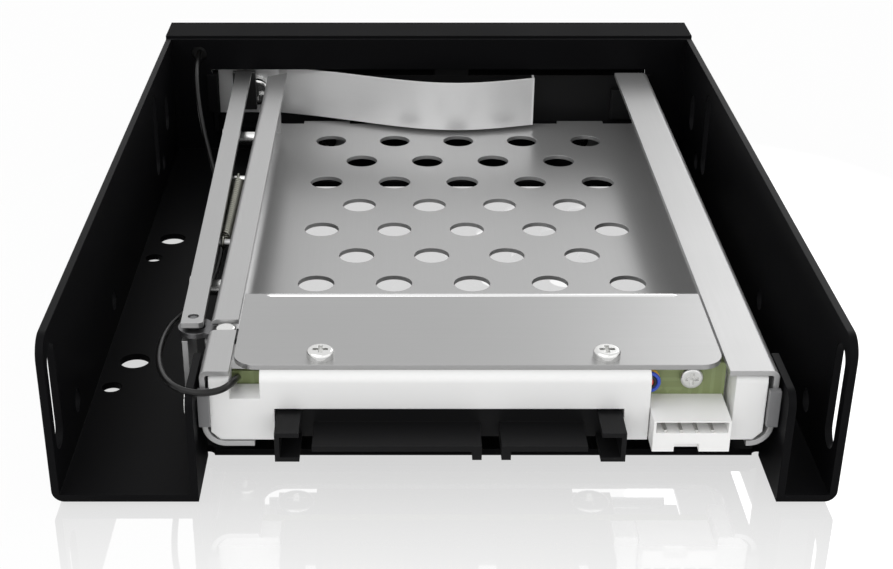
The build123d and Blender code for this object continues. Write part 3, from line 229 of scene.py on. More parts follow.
# %% [markdown]
# ## Finishes
#
# Two recipes cover nearly everything. `coated` is for paint, plastic and rubber: a colour with edge light,
# and grain for its relief. `bare_metal` is for sheet, wire and screws: a metallic surface whose tone and
# roughness come from the rolled sheet pattern. Values that are the same all over a surface stay on the
# shader's own sockets.

# %% The two recipes
def start_material(name):
    """A new material with only its output and a Principled shader."""
    material = bpy.data.materials.new(name)
    material.use_nodes = True
    tree = material.node_tree
    tree.nodes.clear()
    out = tree.nodes.new("ShaderNodeOutputMaterial")
    shader = tree.nodes.new("ShaderNodeBsdfPrincipled")
    tree.links.new(shader.outputs[0], out.inputs[0])
    return material, tree, shader


def use(tree, group, **values):
    """A shader group placed in a material, with its own values."""
    node = tree.nodes.new("ShaderNodeGroup")
    node.node_tree = group
    for label, value in values.items():
        node.inputs[label.replace("_", " ")].default_value = value
    return node


def relief(tree, height, normal, strength, depth):
    """A Bump node that adds a height to a normal."""
    bump = tree.nodes.new("ShaderNodeBump")
    bump.inputs["Strength"].default_value = strength
    bump.inputs["Distance"].default_value = depth
    tree.links.new(height, bump.inputs["Height"])
    tree.links.new(normal, bump.inputs["Normal"])
    return bump.outputs[0]


def coated(name, colour, painted_highlight, roughness, highlight_share=0.3, radius=0.15, grain_size=2500.0, strength=0.15, shine=0.5,
           depth=0.02):
    """Paint, plastic or rubber: edge light for its colour, grain for its relief and gloss."""
    material, tree, shader = start_material(name)
    # The paler edge colour mixed in here is a painted edge highlight.
    light = use(tree, edge_light, Radius=radius * MM, Color=(*colour, 1), Worn_color=(*painted_highlight, 1), Wear=highlight_share)
    skin = use(tree, grain, Scale=grain_size, Roughness=roughness)
    tree.links.new(light.outputs["Color"], shader.inputs["Base Color"])
    tree.links.new(skin.outputs["Roughness"], shader.inputs["Roughness"])
    normal = relief(tree, skin.outputs["Height"], light.outputs["Normal"], strength, depth * MM)
    tree.links.new(normal, shader.inputs["Normal"])
    shader.inputs["Specular IOR Level"].default_value = shine
    return material


def bare_metal(name, tone, roughness, lines=(6000.0, 60.0, 900.0), change=0.12, radius=0.12, strength=0.015,
               variation=0.12, metallic=1.0):
    """Bare metal: a metallic surface with rolling lines and faint clouds."""
    material, tree, shader = start_material(name)
    sheet = use(tree, rolled, Line_scale=lines, Tone=(*tone, 1), Tone_change=change, Roughness=roughness,
                Variation=variation)
    light = use(tree, edge_light, Radius=radius * MM)
    tree.links.new(sheet.outputs["Color"], shader.inputs["Base Color"])
    tree.links.new(sheet.outputs["Roughness"], shader.inputs["Roughness"])
    shader.inputs["Metallic"].default_value = metallic
    normal = relief(tree, sheet.outputs["Height"], light.outputs["Normal"], strength, 0.01 * MM)
    tree.links.new(normal, shader.inputs["Normal"])
    return material


# %% [markdown]
# Black paint and black plastic look alike in a photograph, but the paint is smoother and shows longer
# highlights along the folded sheet, while the moulded bezel scatters them. The white holder is a satin
# plastic that is almost neutral, and its clips are the same plastic in a grey that is painted shade.

# %% Paints and plastics
bracket_paint = coated("Bracket paint", (0.0035, 0.0035, 0.004), (0.014, 0.014, 0.015), 0.42, highlight_share=0.2,
                       grain_size=1800.0, strength=0.12, shine=0.05)
bezel_plastic = coated("Bezel plastic", (0.006, 0.006, 0.0065), (0.022, 0.022, 0.022), 0.6, radius=0.3,
                       grain_size=3800.0, strength=0.3, shine=0.02)
door_plastic = coated("Door plastic", (0.01, 0.01, 0.0105), (0.04, 0.04, 0.04), 0.46, radius=0.2,
                      grain_size=3800.0, strength=0.25, shine=0.14)
holder_plastic = coated("Holder plastic", (0.89, 0.89, 0.885), (0.94, 0.94, 0.94), 0.42, highlight_share=0.15,
                        radius=0.2, grain_size=2200.0, strength=0.08)
header_plastic = coated("Header plastic", (0.93, 0.93, 0.92), (0.95, 0.95, 0.945), 0.38, highlight_share=0.15,
                        radius=0.1, grain_size=2600.0, strength=0.06)
# The clips' grey is painted shade over the white holder plastic.
clip_plastic_painted_shade = coated("Clip plastic, painted shade", (0.2, 0.2, 0.205), (0.32, 0.32, 0.32), 0.45, highlight_share=0.2, radius=0.12)
connector_plastic = coated("Connector plastic", (0.009, 0.009, 0.0095), (0.04, 0.04, 0.04), 0.4, radius=0.12,
                           grain_size=3000.0, strength=0.12, shine=0.08)
button_plastic = coated("Button plastic", (0.02, 0.02, 0.02), (0.08, 0.08, 0.08), 0.4, radius=0.25)
lead_rubber = coated("Lead rubber", (0.005, 0.005, 0.005), (0.03, 0.03, 0.03), 0.3, highlight_share=0.1, radius=0.05,
                     grain_size=5000.0, strength=0.1, shine=0.3)
print("coated finishes:", len(bpy.data.materials))

# %% [markdown]
# The insulation of the four thin wires is soft and bright. One function gives each its colour; the grain is
# very fine and hardly changes the gloss.

# %% Wire colours
wire_colours = {
    "wire_yellow": (0.86, 0.5, 0.04),
    "wire_blue": (0.035, 0.085, 0.55),
    "wire_black": (0.012, 0.012, 0.012),
    "wire_red": (0.62, 0.05, 0.025),
}
insulation = {}
for wire, colour in wire_colours.items():
    # Each wire's paler colour is its painted edge highlight.
    paler = tuple(min(1.0, channel * 1.4 + 0.02) for channel in colour)
    insulation[wire] = coated(f"Insulation {wire[5:]}", colour, paler, 0.32, highlight_share=0.1, radius=0.03,
                              grain_size=6000.0, strength=0.05)

# %% [markdown]
# Sheet steel is rolled along the tray, so its fine lines run towards the front. Screws and studs are turned
# and plated, so their pattern has no long direction, and they shine more. The lever is hardened and darker.

# %% Metals
sheet_steel = bare_metal("Sheet steel", (0.46, 0.46, 0.46), 0.3, metallic=0.6)
cover_steel = bare_metal("Cover steel", (0.41, 0.41, 0.41), 0.34, lines=(60.0, 6000.0, 900.0))
# A much paler copy of the cover steel: a painted highlight on the fold's round.
fold_steel_painted_highlight = bare_metal("Fold steel, painted highlight", (0.86, 0.86, 0.86), 0.22, change=0.05)
leaf_steel = bare_metal("Leaf steel", (0.96, 0.96, 0.96), 0.33, lines=(60.0, 60.0, 5000.0), change=0.06,
                        metallic=0.5)
bar_steel = bare_metal("Bar steel", (0.43, 0.43, 0.43), 0.36, variation=0.04, change=0.08)
lever_steel = bare_metal("Lever steel", (0.2, 0.2, 0.205), 0.42, lines=(900.0, 900.0, 900.0), change=0.25)
screw_plating = bare_metal("Screw plating", (0.74, 0.74, 0.73), 0.2, lines=(1500.0, 1500.0, 1500.0),
                           change=0.1, radius=0.08)
spring_wire = bare_metal("Spring wire", (0.3, 0.3, 0.26), 0.3, lines=(2500.0, 2500.0, 2500.0), radius=0.03)
black_plating = bare_metal("Black plating", (0.03, 0.03, 0.03), 0.4, lines=(1500.0, 1500.0, 1500.0),
                           radius=0.08)
pin_tin = bare_metal("Pin tin", (0.78, 0.78, 0.76), 0.22, lines=(3000.0, 3000.0, 3000.0), radius=0.05)
contact_gold = bare_metal("Contact gold", (0.78, 0.53, 0.2), 0.24, lines=(3000.0, 3000.0, 3000.0),
                          radius=0.04)

# %% [markdown]
# A circuit board is glass cloth under a thin green lacquer. Up close, the copper under the lacquer shows as
# slightly paler lanes that run square to each other. Two wave textures give those lanes, and a noise breaks
# them up so that they come and go.

# %% Board lacquer
def board_lacquer(name, mask, copper, lane_scale):
    """Green lacquer over copper lanes."""
    material, tree, shader = start_material(name)
    place = tree.nodes.new("ShaderNodeTexCoord")
    along = add(tree, "ShaderNodeTexWave", in_1=lane_scale, bands_direction="X")
    up = add(tree, "ShaderNodeTexWave", in_1=lane_scale, bands_direction="Z")
    regions = add(tree, "ShaderNodeTexNoise", in_2=160.0, in_3=1.0)
    choose = add(tree, "ShaderNodeMapRange", in_1=0.47, in_2=0.53)
    lanes = add(tree, "ShaderNodeMix", data_type="FLOAT")
    strip = add(tree, "ShaderNodeMapRange", in_1=0.7, in_2=0.78, in_3=0.0, in_4=0.55)
    colour = add(tree, "ShaderNodeMix", data_type="RGBA", in_6=(*mask, 1), in_7=(*copper, 1))
    light = use(tree, edge_light, Radius=0.05 * MM)
    for texture in (along, up, regions):
        tree.links.new(place.outputs["Object"], texture.inputs[0])
    tree.links.new(regions.outputs[0], choose.inputs[0])
    tree.links.new(choose.outputs[0], lanes.inputs[0])
    tree.links.new(along.outputs[1], lanes.inputs[2])
    tree.links.new(up.outputs[1], lanes.inputs[3])
    tree.links.new(lanes.outputs[0], strip.inputs[0])
    tree.links.new(strip.outputs[0], colour.inputs[0])
    tree.links.new(colour.outputs[2], shader.inputs["Base Color"])
    normal = relief(tree, strip.outputs[0], light.outputs["Normal"], 0.2, 0.03 * MM)
    tree.links.new(normal, shader.inputs["Normal"])
    shader.inputs["Roughness"].default_value = 0.36
    return material


board_green = board_lacquer("Board lacquer", (0.25, 0.3, 0.13), (0.31, 0.37, 0.18), 220.0)
board_black = board_lacquer("Black board lacquer", (0.008, 0.008, 0.008), (0.014, 0.014, 0.014), 300.0)

# %% [markdown]
# The light pipes are clear plastic. A full glass shader would show little at this size, so they are a smooth
# plastic with most of its light let through.

# %% Clear plastic
clear_plastic, _, clear_shader = start_material("Clear plastic")
clear_shader.inputs["Base Color"].default_value = (0.86, 0.88, 0.88, 1)
clear_shader.inputs["Roughness"].default_value = 0.12
clear_shader.inputs["Transmission Weight"].default_value = 0.7
clear_shader.inputs["IOR"].default_value = 1.49
print("materials:", len(bpy.data.materials))

# %% [markdown]
# ## Each piece gets its finish
#
# The model's pieces keep their shapes, so a table from piece to finish is all they need. A piece's material
# goes into the slots that its object already has.

# %% Which piece has which finish
finishes = {
    bracket_paint: ["bay_bracket"],
    black_plating: ["lip_screws"],
    bezel_plastic: ["front_bezel"],
    door_plastic: ["door", "door_liner", "door_stop", "door_catch"],
    holder_plastic: ["backplane_holder"],
    header_plastic: ["power_header"],
    clip_plastic_painted_shade: ["holder_clips"],
    connector_plastic: ["rear_sata_connector", "drive_sata_connector"],
    button_plastic: ["eject_button"],
    lead_rubber: ["led_lead"],
    sheet_steel: ["drive_cage"],
    cover_steel: ["rear_cover_plate"],
    leaf_steel: ["leaf_spring"],
    bar_steel: ["push_bar"],
    lever_steel: ["eject_lever", "bar_pin"],
    screw_plating: ["side_rivets", "cover_screws", "board_screw", "holder_screws", "foot_screw",
                    "lever_rivet", "guide_studs", "spring_post", "door_pins", "leaf_screw"],
    spring_wire: ["return_spring"],
    pin_tin: ["header_pins"],
    contact_gold: ["rear_contacts", "drive_contacts"],
    board_green: ["backplane_board"],
    board_black: ["light_board"],
    clear_plastic: ["light_pipes"],
}
finishes.update({insulation[wire]: [wire] for wire in insulation})
for material, pieces in finishes.items():
    for piece in pieces:
        for material_slot in nodes[piece].material_slots:
            material_slot.material = material
left = set(nodes) - {piece for pieces in finishes.values() for piece in pieces}
print("pieces with no finish:", sorted(left))

# %% [markdown]
# ## The return spring
#
# The real spring is a coil with a small gap between its turns and a hook loop at each end. The CAD model
# stands in a plain tube for it, because a coil has thousands of faces. A coil follows a simple rule,
# so Geometry Nodes make it: a Spiral curve, turned to lie along the bar, swept with a small circle. Each hook
# is a ring that stands in the plane of the coil's axis. All sizes come in through named inputs.

# %% Helpers for Geometry Nodes
def shape_tree(name, inputs):
    """A geometry tree with named size inputs and one geometry output."""
    tree = bpy.data.node_groups.new(name, "GeometryNodeTree")
    for label, kind, value in inputs:
        socket = tree.interface.new_socket(name=label, in_out="INPUT", socket_type=kind)
        socket.default_value = value
    tree.interface.new_socket(name="Geometry", in_out="OUTPUT", socket_type="NodeSocketGeometry")
    return tree, tree.nodes.new("NodeGroupInput"), tree.nodes.new("NodeGroupOutput")


def shape_end(tree, shapes, out, material):
    """Joins the shapes, realizes their instances and gives them one material."""
    join = tree.nodes.new("GeometryNodeJoinGeometry")
    realize = tree.nodes.new("GeometryNodeRealizeInstances")
    paint = tree.nodes.new("GeometryNodeSetMaterial")
    paint.inputs["Material"].default_value = material
    for shape in shapes:
        tree.links.new(shape, join.inputs[0])
    tree.links.new(join.outputs[0], realize.inputs[0])
    tree.links.new(realize.outputs[0], paint.inputs[0])
    tree.links.new(paint.outputs[0], out.inputs[0])


def shape_object(name, tree, values):
    """Runs a geometry tree with these input values and returns a plain mesh object at the origin."""
    source = bpy.data.objects.new(f"{name} source", bpy.data.meshes.new(f"{name} source"))
    bpy.context.scene.collection.objects.link(source)
    modifier = source.modifiers.new("Shape", "NODES")
    modifier.node_group = tree
    sockets = {item.name: item.identifier for item in tree.interface.items_tree if item.in_out == "INPUT"}
    for label, value in values.items():
        modifier[sockets[label]] = value
    evaluated = source.evaluated_get(bpy.context.evaluated_depsgraph_get())
    mesh = bpy.data.meshes.new_from_object(evaluated)
    mesh.name = name
    bpy.data.objects.remove(source)
    piece = bpy.data.objects.new(name, mesh)
    bpy.context.scene.collection.objects.link(piece)
    print(name, "faces:", len(mesh.polygons))
    return piece


# %% The coil and its hooks
spring_low, spring_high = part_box("return_spring")
wire = 0.4 * MM
coil_outer = spring_high.x - spring_low.x
loop_radius = 0.85 * MM
hook_reach = 0.6 * MM
hook_length = 2 * loop_radius + wire / 2 + hook_reach
spring_axis = Vector(((spring_low.x + spring_high.x) / 2, 0, (spring_low.z + spring_high.z) / 2))
coil_start = spring_low.y + hook_length
coil_end = spring_high.y - hook_length
pitch = 0.76 * MM
turns = int((coil_end - coil_start - wire) / pitch)
print("coil length in mm:", round((coil_end - coil_start) / MM, 2), "turns:", turns)

# %% The tree of one hook
hook_tree, hook_in, hook_out = shape_tree("Spring hook", [
    ("Ring place", "NodeSocketVector", (0, 0, 0)), ("Edge", "NodeSocketVector", (0, 0, 0)),
    ("Corner", "NodeSocketVector", (0, 0, 0)), ("End", "NodeSocketVector", (0, 0, 0)),
    ("Loop radius", "NodeSocketFloat", loop_radius),
])
ring = add(hook_tree, "GeometryNodeCurvePrimitiveCircle")
ring.inputs["Resolution"].default_value = 28
turned = add(hook_tree, "GeometryNodeTransform")
turned.inputs["Rotation"].default_value = (0, pi / 2, 0)
bend = add(hook_tree, "GeometryNodeCurveQuadraticBezier")
bend.inputs["Resolution"].default_value = 10
both_curves = add(hook_tree, "GeometryNodeJoinGeometry")
hook_tree.links.new(hook_in.outputs["Loop radius"], ring.inputs["Radius"])
hook_tree.links.new(ring.outputs[0], turned.inputs[0])
hook_tree.links.new(hook_in.outputs["Ring place"], turned.inputs["Translation"])
for label, socket in (("Edge", "Start"), ("Corner", "Middle"), ("End", "End")):
    hook_tree.links.new(hook_in.outputs[label], bend.inputs[socket])
hook_tree.links.new(turned.outputs[0], both_curves.inputs[0])
hook_tree.links.new(bend.outputs[0], both_curves.inputs[0])
hook_tree.links.new(both_curves.outputs[0], hook_out.inputs[0])

# %% The tree of the whole spring
coil_tree, coil_in, coil_out = shape_tree("Return coil", [
    ("Turns", "NodeSocketFloat", 50.0), ("Coil radius", "NodeSocketFloat", 0.9 * MM),
    ("Length", "NodeSocketFloat", 20 * MM), ("Wire radius", "NodeSocketFloat", wire / 2),
    ("Place", "NodeSocketVector", (0, 0, 0)),
])
spiral = add(coil_tree, "GeometryNodeCurveSpiral")
spiral.inputs["Resolution"].default_value = 18
laid = add(coil_tree, "GeometryNodeTransform")
laid.inputs["Rotation"].default_value = (-pi / 2, 0, 0)
profile = add(coil_tree, "GeometryNodeCurvePrimitiveCircle")
profile.inputs["Resolution"].default_value = 8
curves = add(coil_tree, "GeometryNodeJoinGeometry")
swept = add(coil_tree, "GeometryNodeCurveToMesh")
swept.inputs["Fill Caps"].default_value = True
smooth = add(coil_tree, "GeometryNodeSetShadeSmooth")
coil_tree.links.new(coil_in.outputs["Turns"], spiral.inputs["Rotations"])
coil_tree.links.new(coil_in.outputs["Coil radius"], spiral.inputs["Start Radius"])
coil_tree.links.new(coil_in.outputs["Coil radius"], spiral.inputs["End Radius"])
coil_tree.links.new(coil_in.outputs["Length"], spiral.inputs["Height"])
coil_tree.links.new(coil_in.outputs["Place"], laid.inputs["Translation"])
coil_tree.links.new(coil_in.outputs["Wire radius"], profile.inputs["Radius"])
coil_tree.links.new(spiral.outputs[0], laid.inputs[0])
coil_tree.links.new(laid.outputs[0], curves.inputs[0])
coil_radius = (coil_outer - wire) / 2
for ring_y, edge_y, end_y in (
    (spring_low.y + wire / 2 + loop_radius, coil_start - hook_reach, coil_start + wire / 2),
    (spring_high.y - wire / 2 - loop_radius, coil_end + hook_reach, coil_end - wire / 2),
):
    hook = add(coil_tree, "GeometryNodeGroup", node_tree=hook_tree)
    for label, y, reach in (("Ring place", ring_y, 0), ("Edge", edge_y, 0), ("Corner", end_y, 0),
                            ("End", end_y, coil_radius)):
        hook.inputs[label].default_value = spring_axis + Vector((reach, y, 0))
    coil_tree.links.new(hook.outputs[0], curves.inputs[0])
coil_tree.links.new(curves.outputs[0], swept.inputs[0])
coil_tree.links.new(profile.outputs[0], swept.inputs[1])
coil_tree.links.new(swept.outputs[0], smooth.inputs[0])
shape_end(coil_tree, [smooth.outputs[0]], coil_out, spring_wire)

# %% [markdown]
# The coil's lower end hooks on the cage's post and its upper end on the bar's post.

# %% The spring in its place
return_coil = shape_object("return_coil", coil_tree, {
    "Turns": float(turns), "Coil radius": coil_radius, "Length": coil_end - coil_start - wire,
    "Wire radius": wire / 2, "Place": spring_axis + Vector((0, coil_start + wire / 2, 0)),
})
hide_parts("return_spring")
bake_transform(return_coil)

# %% [markdown]
# ## Small repeats: solder joints and grip ribs
#
# The header's four pins end in cones of solder on the front of the board, and the eject button has ribs that
# give a fingertip some grip. Both are a row of one small shape, so one tree serves both: a Mesh Line gives
# the places, and Instance on Points puts the shape there.

# %% The tree of a row
def row_tree(name, shape_kind, settings, turn, material):
    """A row of one primitive shape along a line."""
    tree, row_in, row_out = shape_tree(name, [
        ("Count", "NodeSocketInt", 4), ("First", "NodeSocketVector", (0, 0, 0)),
        ("Step", "NodeSocketVector", (0, 0, 0)),
    ])
    line = add(tree, "GeometryNodeMeshLine", mode="OFFSET")
    shape = add(tree, shape_kind)
    for label, value in settings.items():
        shape.inputs[label].default_value = value
    placed = add(tree, "GeometryNodeInstanceOnPoints")
    placed.inputs["Rotation"].default_value = turn
    tree.links.new(row_in.outputs["Count"], line.inputs["Count"])
    tree.links.new(row_in.outputs["First"], line.inputs["Start Location"])
    tree.links.new(row_in.outputs["Step"], line.inputs["Offset"])
    tree.links.new(line.outputs[0], placed.inputs["Points"])
    tree.links.new(shape.outputs[0], placed.inputs["Instance"])
    shape_end(tree, [placed.outputs[0]], row_out, material)
    return tree


# %% Solder joints of the header
solder = bare_metal("Solder", (0.72, 0.72, 0.7), 0.28, lines=(900.0, 900.0, 900.0), radius=0.1)
pins_low, pins_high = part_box("header_pins")
board_low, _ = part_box("backplane_board")
pin_width = 0.5 * MM
pin_count = 4
pin_step = (pins_high.x - pins_low.x - pin_width) / (pin_count - 1)
joint_tip = 0.28 * MM
joint_foot = 0.75 * MM
joint_height = 0.6 * MM
joint_tree = row_tree("Solder joints", "GeometryNodeMeshCone",
                      {"Vertices": 20, "Radius Top": joint_tip, "Radius Bottom": joint_foot,
                       "Depth": joint_height},
                      (pi / 2, 0, 0), solder)
solder_joints = shape_object("solder_joints", joint_tree, {
    "Count": pin_count, "Step": (pin_step, 0, 0),
    "First": (pins_low.x + pin_width / 2, board_low.y, (pins_low.z + pins_high.z) / 2),
})
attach(solder_joints, "chassis")

# %% Ribs on the eject button
button_low, button_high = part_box("eject_button")
rib_count = 6
rib_height = 0.4 * MM
rib_sink = 0.1 * MM
rib_reach = 0.2 * MM
rib_width_share = 0.74
rib_step = (button_high.z - button_low.z) / (rib_count + 1)
rib_tree = row_tree("Grip ribs", "GeometryNodeMeshCube",
                    {"Size": (rib_width_share * (button_high.x - button_low.x), rib_sink + rib_reach,
                              rib_height)},
                    (0, 0, 0), button_plastic)
grip_ribs = shape_object("grip_ribs", rib_tree, {
    "Count": rib_count, "Step": (0, 0, rib_step),
    "First": ((button_low.x + button_high.x) / 2, button_low.y + (rib_sink - rib_reach) / 2,
              button_low.z + rib_step),
})
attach(grip_ribs, "push_bar")

# %% [markdown]
# ## Clips, header and cover fold
#
# Three small forms are finer on the real object than in its CAD model. The clips only cover the edge of
# the tray's wall, and their grey is painted shade on the white plastic. The header is a block whose pins lie
# in a shallow trough under its short top wall. The cover is folded down at its front, and the round of the
# fold is the brightest line in the photograph; its steel is a paler copy of the cover's, a painted highlight.
# The clips are a row of two. The header is a box with two cuts, where Boolean modifiers are the plainest way,
# and a Bevel modifier softens it.

# %% The clips over the tray's walls
clips_low, clips_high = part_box("holder_clips")
clip_width = 1.45 * MM
# The clips' grey material is painted shade.
clip_tree = row_tree("Wall clips", "GeometryNodeMeshCube",
                     {"Size": (clip_width, clips_high.y - clips_low.y, clips_high.z - clips_low.z)},
                     (0, 0, 0), clip_plastic_painted_shade)
wall_clips = shape_object("wall_clips", clip_tree, {
    "Count": 2, "Step": (clips_high.x - clips_low.x - clip_width, 0, 0),
    "First": (clips_low.x + clip_width / 2, (clips_low.y + clips_high.y) / 2,
              (clips_low.z + clips_high.z) / 2),
})
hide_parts("holder_clips")
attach(wall_clips, "chassis")

# %% Helpers for a cut block
def box_object(name, low, high, material=None):
    """A plain box between two corners, with its place in its mesh."""
    mesh = bpy.data.meshes.new(name)
    shape = bmesh.new()
    bmesh.ops.create_cube(shape, size=1.0)
    low, high = Vector(low), Vector(high)
    place = Matrix.Translation((low + high) / 2) @ Matrix.Diagonal((*(high - low), 1))
    bmesh.ops.transform(shape, matrix=place, verts=shape.verts)
    shape.to_mesh(mesh)
    shape.free()
    piece = bpy.data.objects.new(name, mesh)
    bpy.context.scene.collection.objects.link(piece)
    if material:
        mesh.materials.append(material)
    return piece


def cut_block(name, block, cutters, edge):
    """The block without the cutters, with softened edges, as a plain mesh."""
    for cutter in cutters:
        cut = block.modifiers.new("Cut", "BOOLEAN")
        cut.operation = "DIFFERENCE"
        cut.object = cutter
    soft = block.modifiers.new("Soft edge", "BEVEL")
    soft.width = edge
    soft.segments = 2
    mesh = bpy.data.meshes.new_from_object(block.evaluated_get(bpy.context.evaluated_depsgraph_get()))
    mesh.name = name
    for old in (block, *cutters):
        bpy.data.objects.remove(old)
    piece = bpy.data.objects.new(name, mesh)
    bpy.context.scene.collection.objects.link(piece)
    print(name, "faces:", len(mesh.polygons))
    return piece


# %% The power header
header_low, header_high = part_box("power_header")
header_rear = 49.4 * MM
trough_z = 9.7 * MM
trough_start = header_low.y + 1.5 * MM
top_wall = 0.14 * MM
side_wall = 0.35 * MM
notch = (-32.5 * MM, -29.3 * MM)
notch_top = header_low.z + 1.15 * MM
notch_depth = 1.2 * MM
clear = 0.5 * MM
header_shell = cut_block(
    "header_shell",
    box_object("block", header_low, (header_high.x, header_rear, header_high.z), header_plastic),
    [box_object("trough", (header_low.x + side_wall, trough_start, trough_z),
                (header_high.x - side_wall, header_rear + clear, header_high.z - top_wall)),
     box_object("notch", (notch[0], header_rear - notch_depth, header_low.z - clear),
                (notch[1], header_rear + clear, notch_top))],
    0.04 * MM)
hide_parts("power_header")
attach(header_shell, "chassis")

# %% Its four pins
pin_height = 0.4 * MM
pin_tree = row_tree("Trough pins", "GeometryNodeMeshCube",
                    {"Size": (pin_height, header_rear - trough_start - clear / 2, pin_height)},
                    (0, 0, 0), pin_tin)
trough_pins = shape_object("trough_pins", pin_tree, {
    "Count": pin_count, "Step": (pin_step, 0, 0),
    "First": (pins_low.x + pin_width / 2, (header_rear + trough_start) / 2, trough_z + pin_height / 2),
})
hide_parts("header_pins")
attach(trough_pins, "chassis")

# %% The round fold at the cover's front edge
cover_low, cover_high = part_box("rear_cover_plate")
fold_radius = 0.7 * MM
fold_inset = 1.2 * MM
fold_taper = 3 * fold_inset
fold_tip_share = 0.1
fold_sink_share = 0.75
fold_curve = bpy.data.curves.new("cover_fold", "CURVE")
fold_curve.dimensions = "3D"
fold_curve.bevel_depth = fold_radius
fold_curve.bevel_resolution = 5
fold_curve.use_fill_caps = True
fold_line = fold_curve.splines.new("POLY")
fold_line.points.add(3)
fold_y = cover_low.y + fold_radius
fold_z = cover_high.z - fold_sink_share * fold_radius
fold_places = [(cover_low.x + fold_inset, fold_tip_share), (cover_low.x + fold_taper, 1.0),
               (cover_high.x - fold_taper, 1.0), (cover_high.x - fold_inset, fold_tip_share)]
for point, (x, share) in zip(fold_line.points, fold_places):
    point.co = (x, fold_y, fold_z, 1)
    point.radius = share
# The fold's pale steel is a painted highlight.
fold_curve.materials.append(fold_steel_painted_highlight)
cover_fold = bpy.data.objects.new("cover_fold", fold_curve)
bpy.context.scene.collection.objects.link(cover_fold)
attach(cover_fold, "chassis")

# %% [markdown]
# ## The black lead
#
# The lead runs from the small light board along the tray's side and loops back into the holder. A NURBS curve
# through a few points, with a round bevel, bends as a soft cable does: it has no corners, and its thickness
# is the same all along.

# %% The lead as a smooth curve
lead_points = [
    (44.6, -75.7, 20.5),
    (44.6, -68.0, 20.0),
    (43.2, -58.5, 14.5),
    (40.4, -50.0, 7.8),
    (37.2, -39.0, 3.9),
    (35.6, -24.0, 3.5),
    (35.3, -7.0, 4.6),
    (35.9, 7.0, 6.9),
    (37.3, 17.5, 10.5),
    (38.2, 26.0, 12.6),
    (38.1, 34.5, 14.0),
    (37.2, 41.2, 14.9),
    (35.6, 46.0, 15.4),
    (33.4, 48.7, 15.6),
    (30.8, 49.6, 15.6),
    (28.3, 48.6, 15.5),
    (27.1, 46.0, 15.2),
    (26.9, 43.8, 14.6),
    (26.9, 42.2, 13.9),
]
lead_diameter = 0.9 * MM
lead_curve = bpy.data.curves.new("lead", "CURVE")
lead_curve.dimensions = "3D"
lead_curve.bevel_depth = lead_diameter / 2
lead_curve.bevel_resolution = 4
lead_curve.use_fill_caps = True
lead_line = lead_curve.splines.new("NURBS")
lead_line.points.add(len(lead_points) - 1)
for point, place in zip(lead_line.points, lead_points):
    point.co = (*(Vector(place) * MM), 1)
lead_line.order_u = 3
lead_line.use_endpoint_u = True
lead_line.resolution_u = 10
lead_curve.materials.append(lead_rubber)
lead = bpy.data.objects.new("lead", lead_curve)
bpy.context.scene.collection.objects.link(lead)
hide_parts("led_lead")
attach(lead, "chassis")

# %% [markdown]
# ## Floor, light and camera
#
# The object stands on a pale glossy sheet, as small hardware often does in a catalogue. The sheet shows a
# faint mirror image close to the object. Away from the object it should be plain white, so the floor shows
# its own white where the camera looks straight at it, and only shadow and reflection are laid on top.

# %% The floor
floor_gap = 0.02 * MM
floor_z = cad_box[0][2] - floor_gap
floor_white = 0.93
floor_half = 1.5
mirror_from = 40 * MM
mirror_to = 82 * MM
mirror_end = 110 * MM
mirror_share = 0.3
floor_mesh = bpy.data.meshes.new("floor")
corners = [(-floor_half, -floor_half), (floor_half, -floor_half), (floor_half, floor_half),
           (-floor_half, floor_half)]
floor_mesh.from_pydata([(x, y, floor_z) for x, y in corners], [], [(0, 1, 2, 3)])
floor = bpy.data.objects.new("floor", floor_mesh)
bpy.context.scene.collection.objects.link(floor)
floor_paper, floor_tree, floor_shader = start_material("Floor sheet")
floor_shader.inputs["Base Color"].default_value = (floor_white, floor_white, floor_white, 1)
floor_shader.inputs["Roughness"].default_value = 0.5
floor_shader.inputs["Specular IOR Level"].default_value = 0.0
white = add(floor_tree, "ShaderNodeEmission")
looked_at = add(floor_tree, "ShaderNodeLightPath")
plain = add(floor_tree, "ShaderNodeMath", operation="MULTIPLY", in_1=floor_white)
lit = add(floor_tree, "ShaderNodeMixShader")
mirror = add(floor_tree, "ShaderNodeBsdfGlossy", in_0=(1, 1, 1, 1), in_1=0.03)
place = add(floor_tree, "ShaderNodeTexCoord")
axes = add(floor_tree, "ShaderNodeSeparateXYZ")
fade = add(floor_tree, "ShaderNodeMapRange", in_1=mirror_from, in_2=mirror_to, in_3=mirror_share, in_4=0.0)
distance = add(floor_tree, "ShaderNodeVectorMath", operation="LENGTH")
edge_fade = add(floor_tree, "ShaderNodeMapRange", in_1=mirror_to, in_2=mirror_end, in_3=1.0, in_4=0.0)
share = add(floor_tree, "ShaderNodeMath", operation="MULTIPLY")
sheet = add(floor_tree, "ShaderNodeMixShader")
floor_tree.links.new(looked_at.outputs["Is Camera Ray"], plain.inputs[0])
floor_tree.links.new(plain.outputs[0], lit.inputs[0])
floor_tree.links.new(floor_shader.outputs[0], lit.inputs[1])
floor_tree.links.new(white.outputs[0], lit.inputs[2])
floor_tree.links.new(place.outputs["Object"], axes.inputs[0])
floor_tree.links.new(axes.outputs["Y"], fade.inputs[0])
floor_tree.links.new(place.outputs["Object"], distance.inputs[0])
floor_tree.links.new(distance.outputs["Value"], edge_fade.inputs[0])
floor_tree.links.new(fade.outputs[0], share.inputs[0])
floor_tree.links.new(edge_fade.outputs[0], share.inputs[1])
floor_tree.links.new(share.outputs[0], sheet.inputs[0])
floor_tree.links.new(lit.outputs[0], sheet.inputs[1])
floor_tree.links.new(mirror.outputs[0], sheet.inputs[2])
floor_tree.links.new(sheet.outputs[0], floor_tree.nodes["Material Output"].inputs[0])
floor_mesh.materials.append(floor_paper)

# %% [markdown]
# The world is white wherever the camera, a mirror or clear plastic looks at it, and a softer white where it
# only lights surfaces. Light Path tells these cases apart.

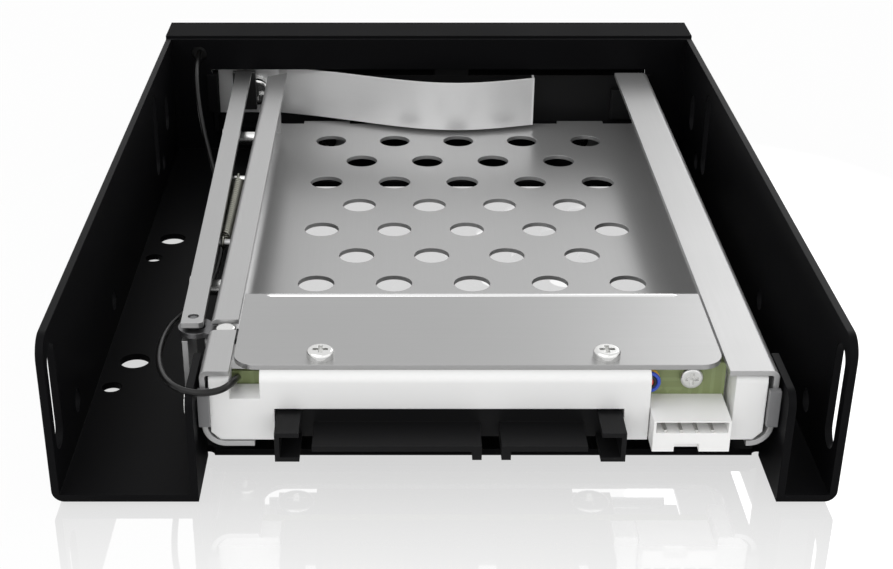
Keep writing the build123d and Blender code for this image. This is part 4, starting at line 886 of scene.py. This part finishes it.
# %% The world
world = bpy.data.worlds.new("Studio")
bpy.context.scene.world = world
world.use_nodes = True
sky = world.node_tree
sky.nodes.clear()
sky_out = add(sky, "ShaderNodeOutputWorld")
background = add(sky, "ShaderNodeBackground")
path = add(sky, "ShaderNodeLightPath")
seen = add(sky, "ShaderNodeMath", operation="MAXIMUM")
seen_any = add(sky, "ShaderNodeMath", operation="MAXIMUM")
level = add(sky, "ShaderNodeMapRange", in_3=0.62, in_4=1.0)
background.inputs["Color"].default_value = (1, 1, 1, 1)
sky.links.new(path.outputs["Is Camera Ray"], seen.inputs[0])
sky.links.new(path.outputs["Is Glossy Ray"], seen.inputs[1])
sky.links.new(seen.outputs[0], seen_any.inputs[0])
sky.links.new(path.outputs["Is Transmission Ray"], seen_any.inputs[1])
sky.links.new(seen_any.outputs[0], level.inputs[0])
sky.links.new(level.outputs[0], background.inputs["Strength"])
sky.links.new(background.outputs[0], sky_out.inputs[0])

# %% Soft lamps
def soft_lamp(name, place, size, power):
    """A square area lamp that looks at the object."""
    data = bpy.data.lights.new(name, "AREA")
    data.shape = "SQUARE"
    data.size = size
    data.energy = power
    lamp = bpy.data.objects.new(name, data)
    lamp.location = Vector(place)
    lamp.rotation_euler = (-Vector(place)).to_track_quat("-Z", "Y").to_euler()
    bpy.context.scene.collection.objects.link(lamp)
    return lamp


soft_lamp("key", (0.25, 0.2, 0.45), 0.6, 0.9)
soft_lamp("fill", (-0.45, 0.25, 0.3), 0.6, 0.4)
soft_lamp("rear", (0.0, 0.6, 0.25), 0.9, 0.85)
soft_lamp("rim", (-0.3, -0.62, 0.38), 0.3, 0.42)

# %% [markdown]
# The camera stands where the photographer stood: behind the connectors, above the object and a little to the
# left of its middle, looking down by 28 degrees. The shift keeps upright edges from leaning.

# %% The camera
camera_data = bpy.data.cameras.new("camera")
camera_data.lens = 62.74
camera_data.sensor_width = 36.0
camera_data.shift_x = 0.055
camera_data.shift_y = 0.0622
camera_data.clip_start = 0.01
camera_data.clip_end = 20.0
camera = bpy.data.objects.new("camera", camera_data)
camera.location = Vector((6.08, 218.87, 113.1)) * MM
camera.rotation_euler = (radians(90 - 27.96), 0, pi)
bpy.context.scene.collection.objects.link(camera)
bpy.context.scene.camera = camera
bpy.context.scene.view_settings.view_transform = "Standard"
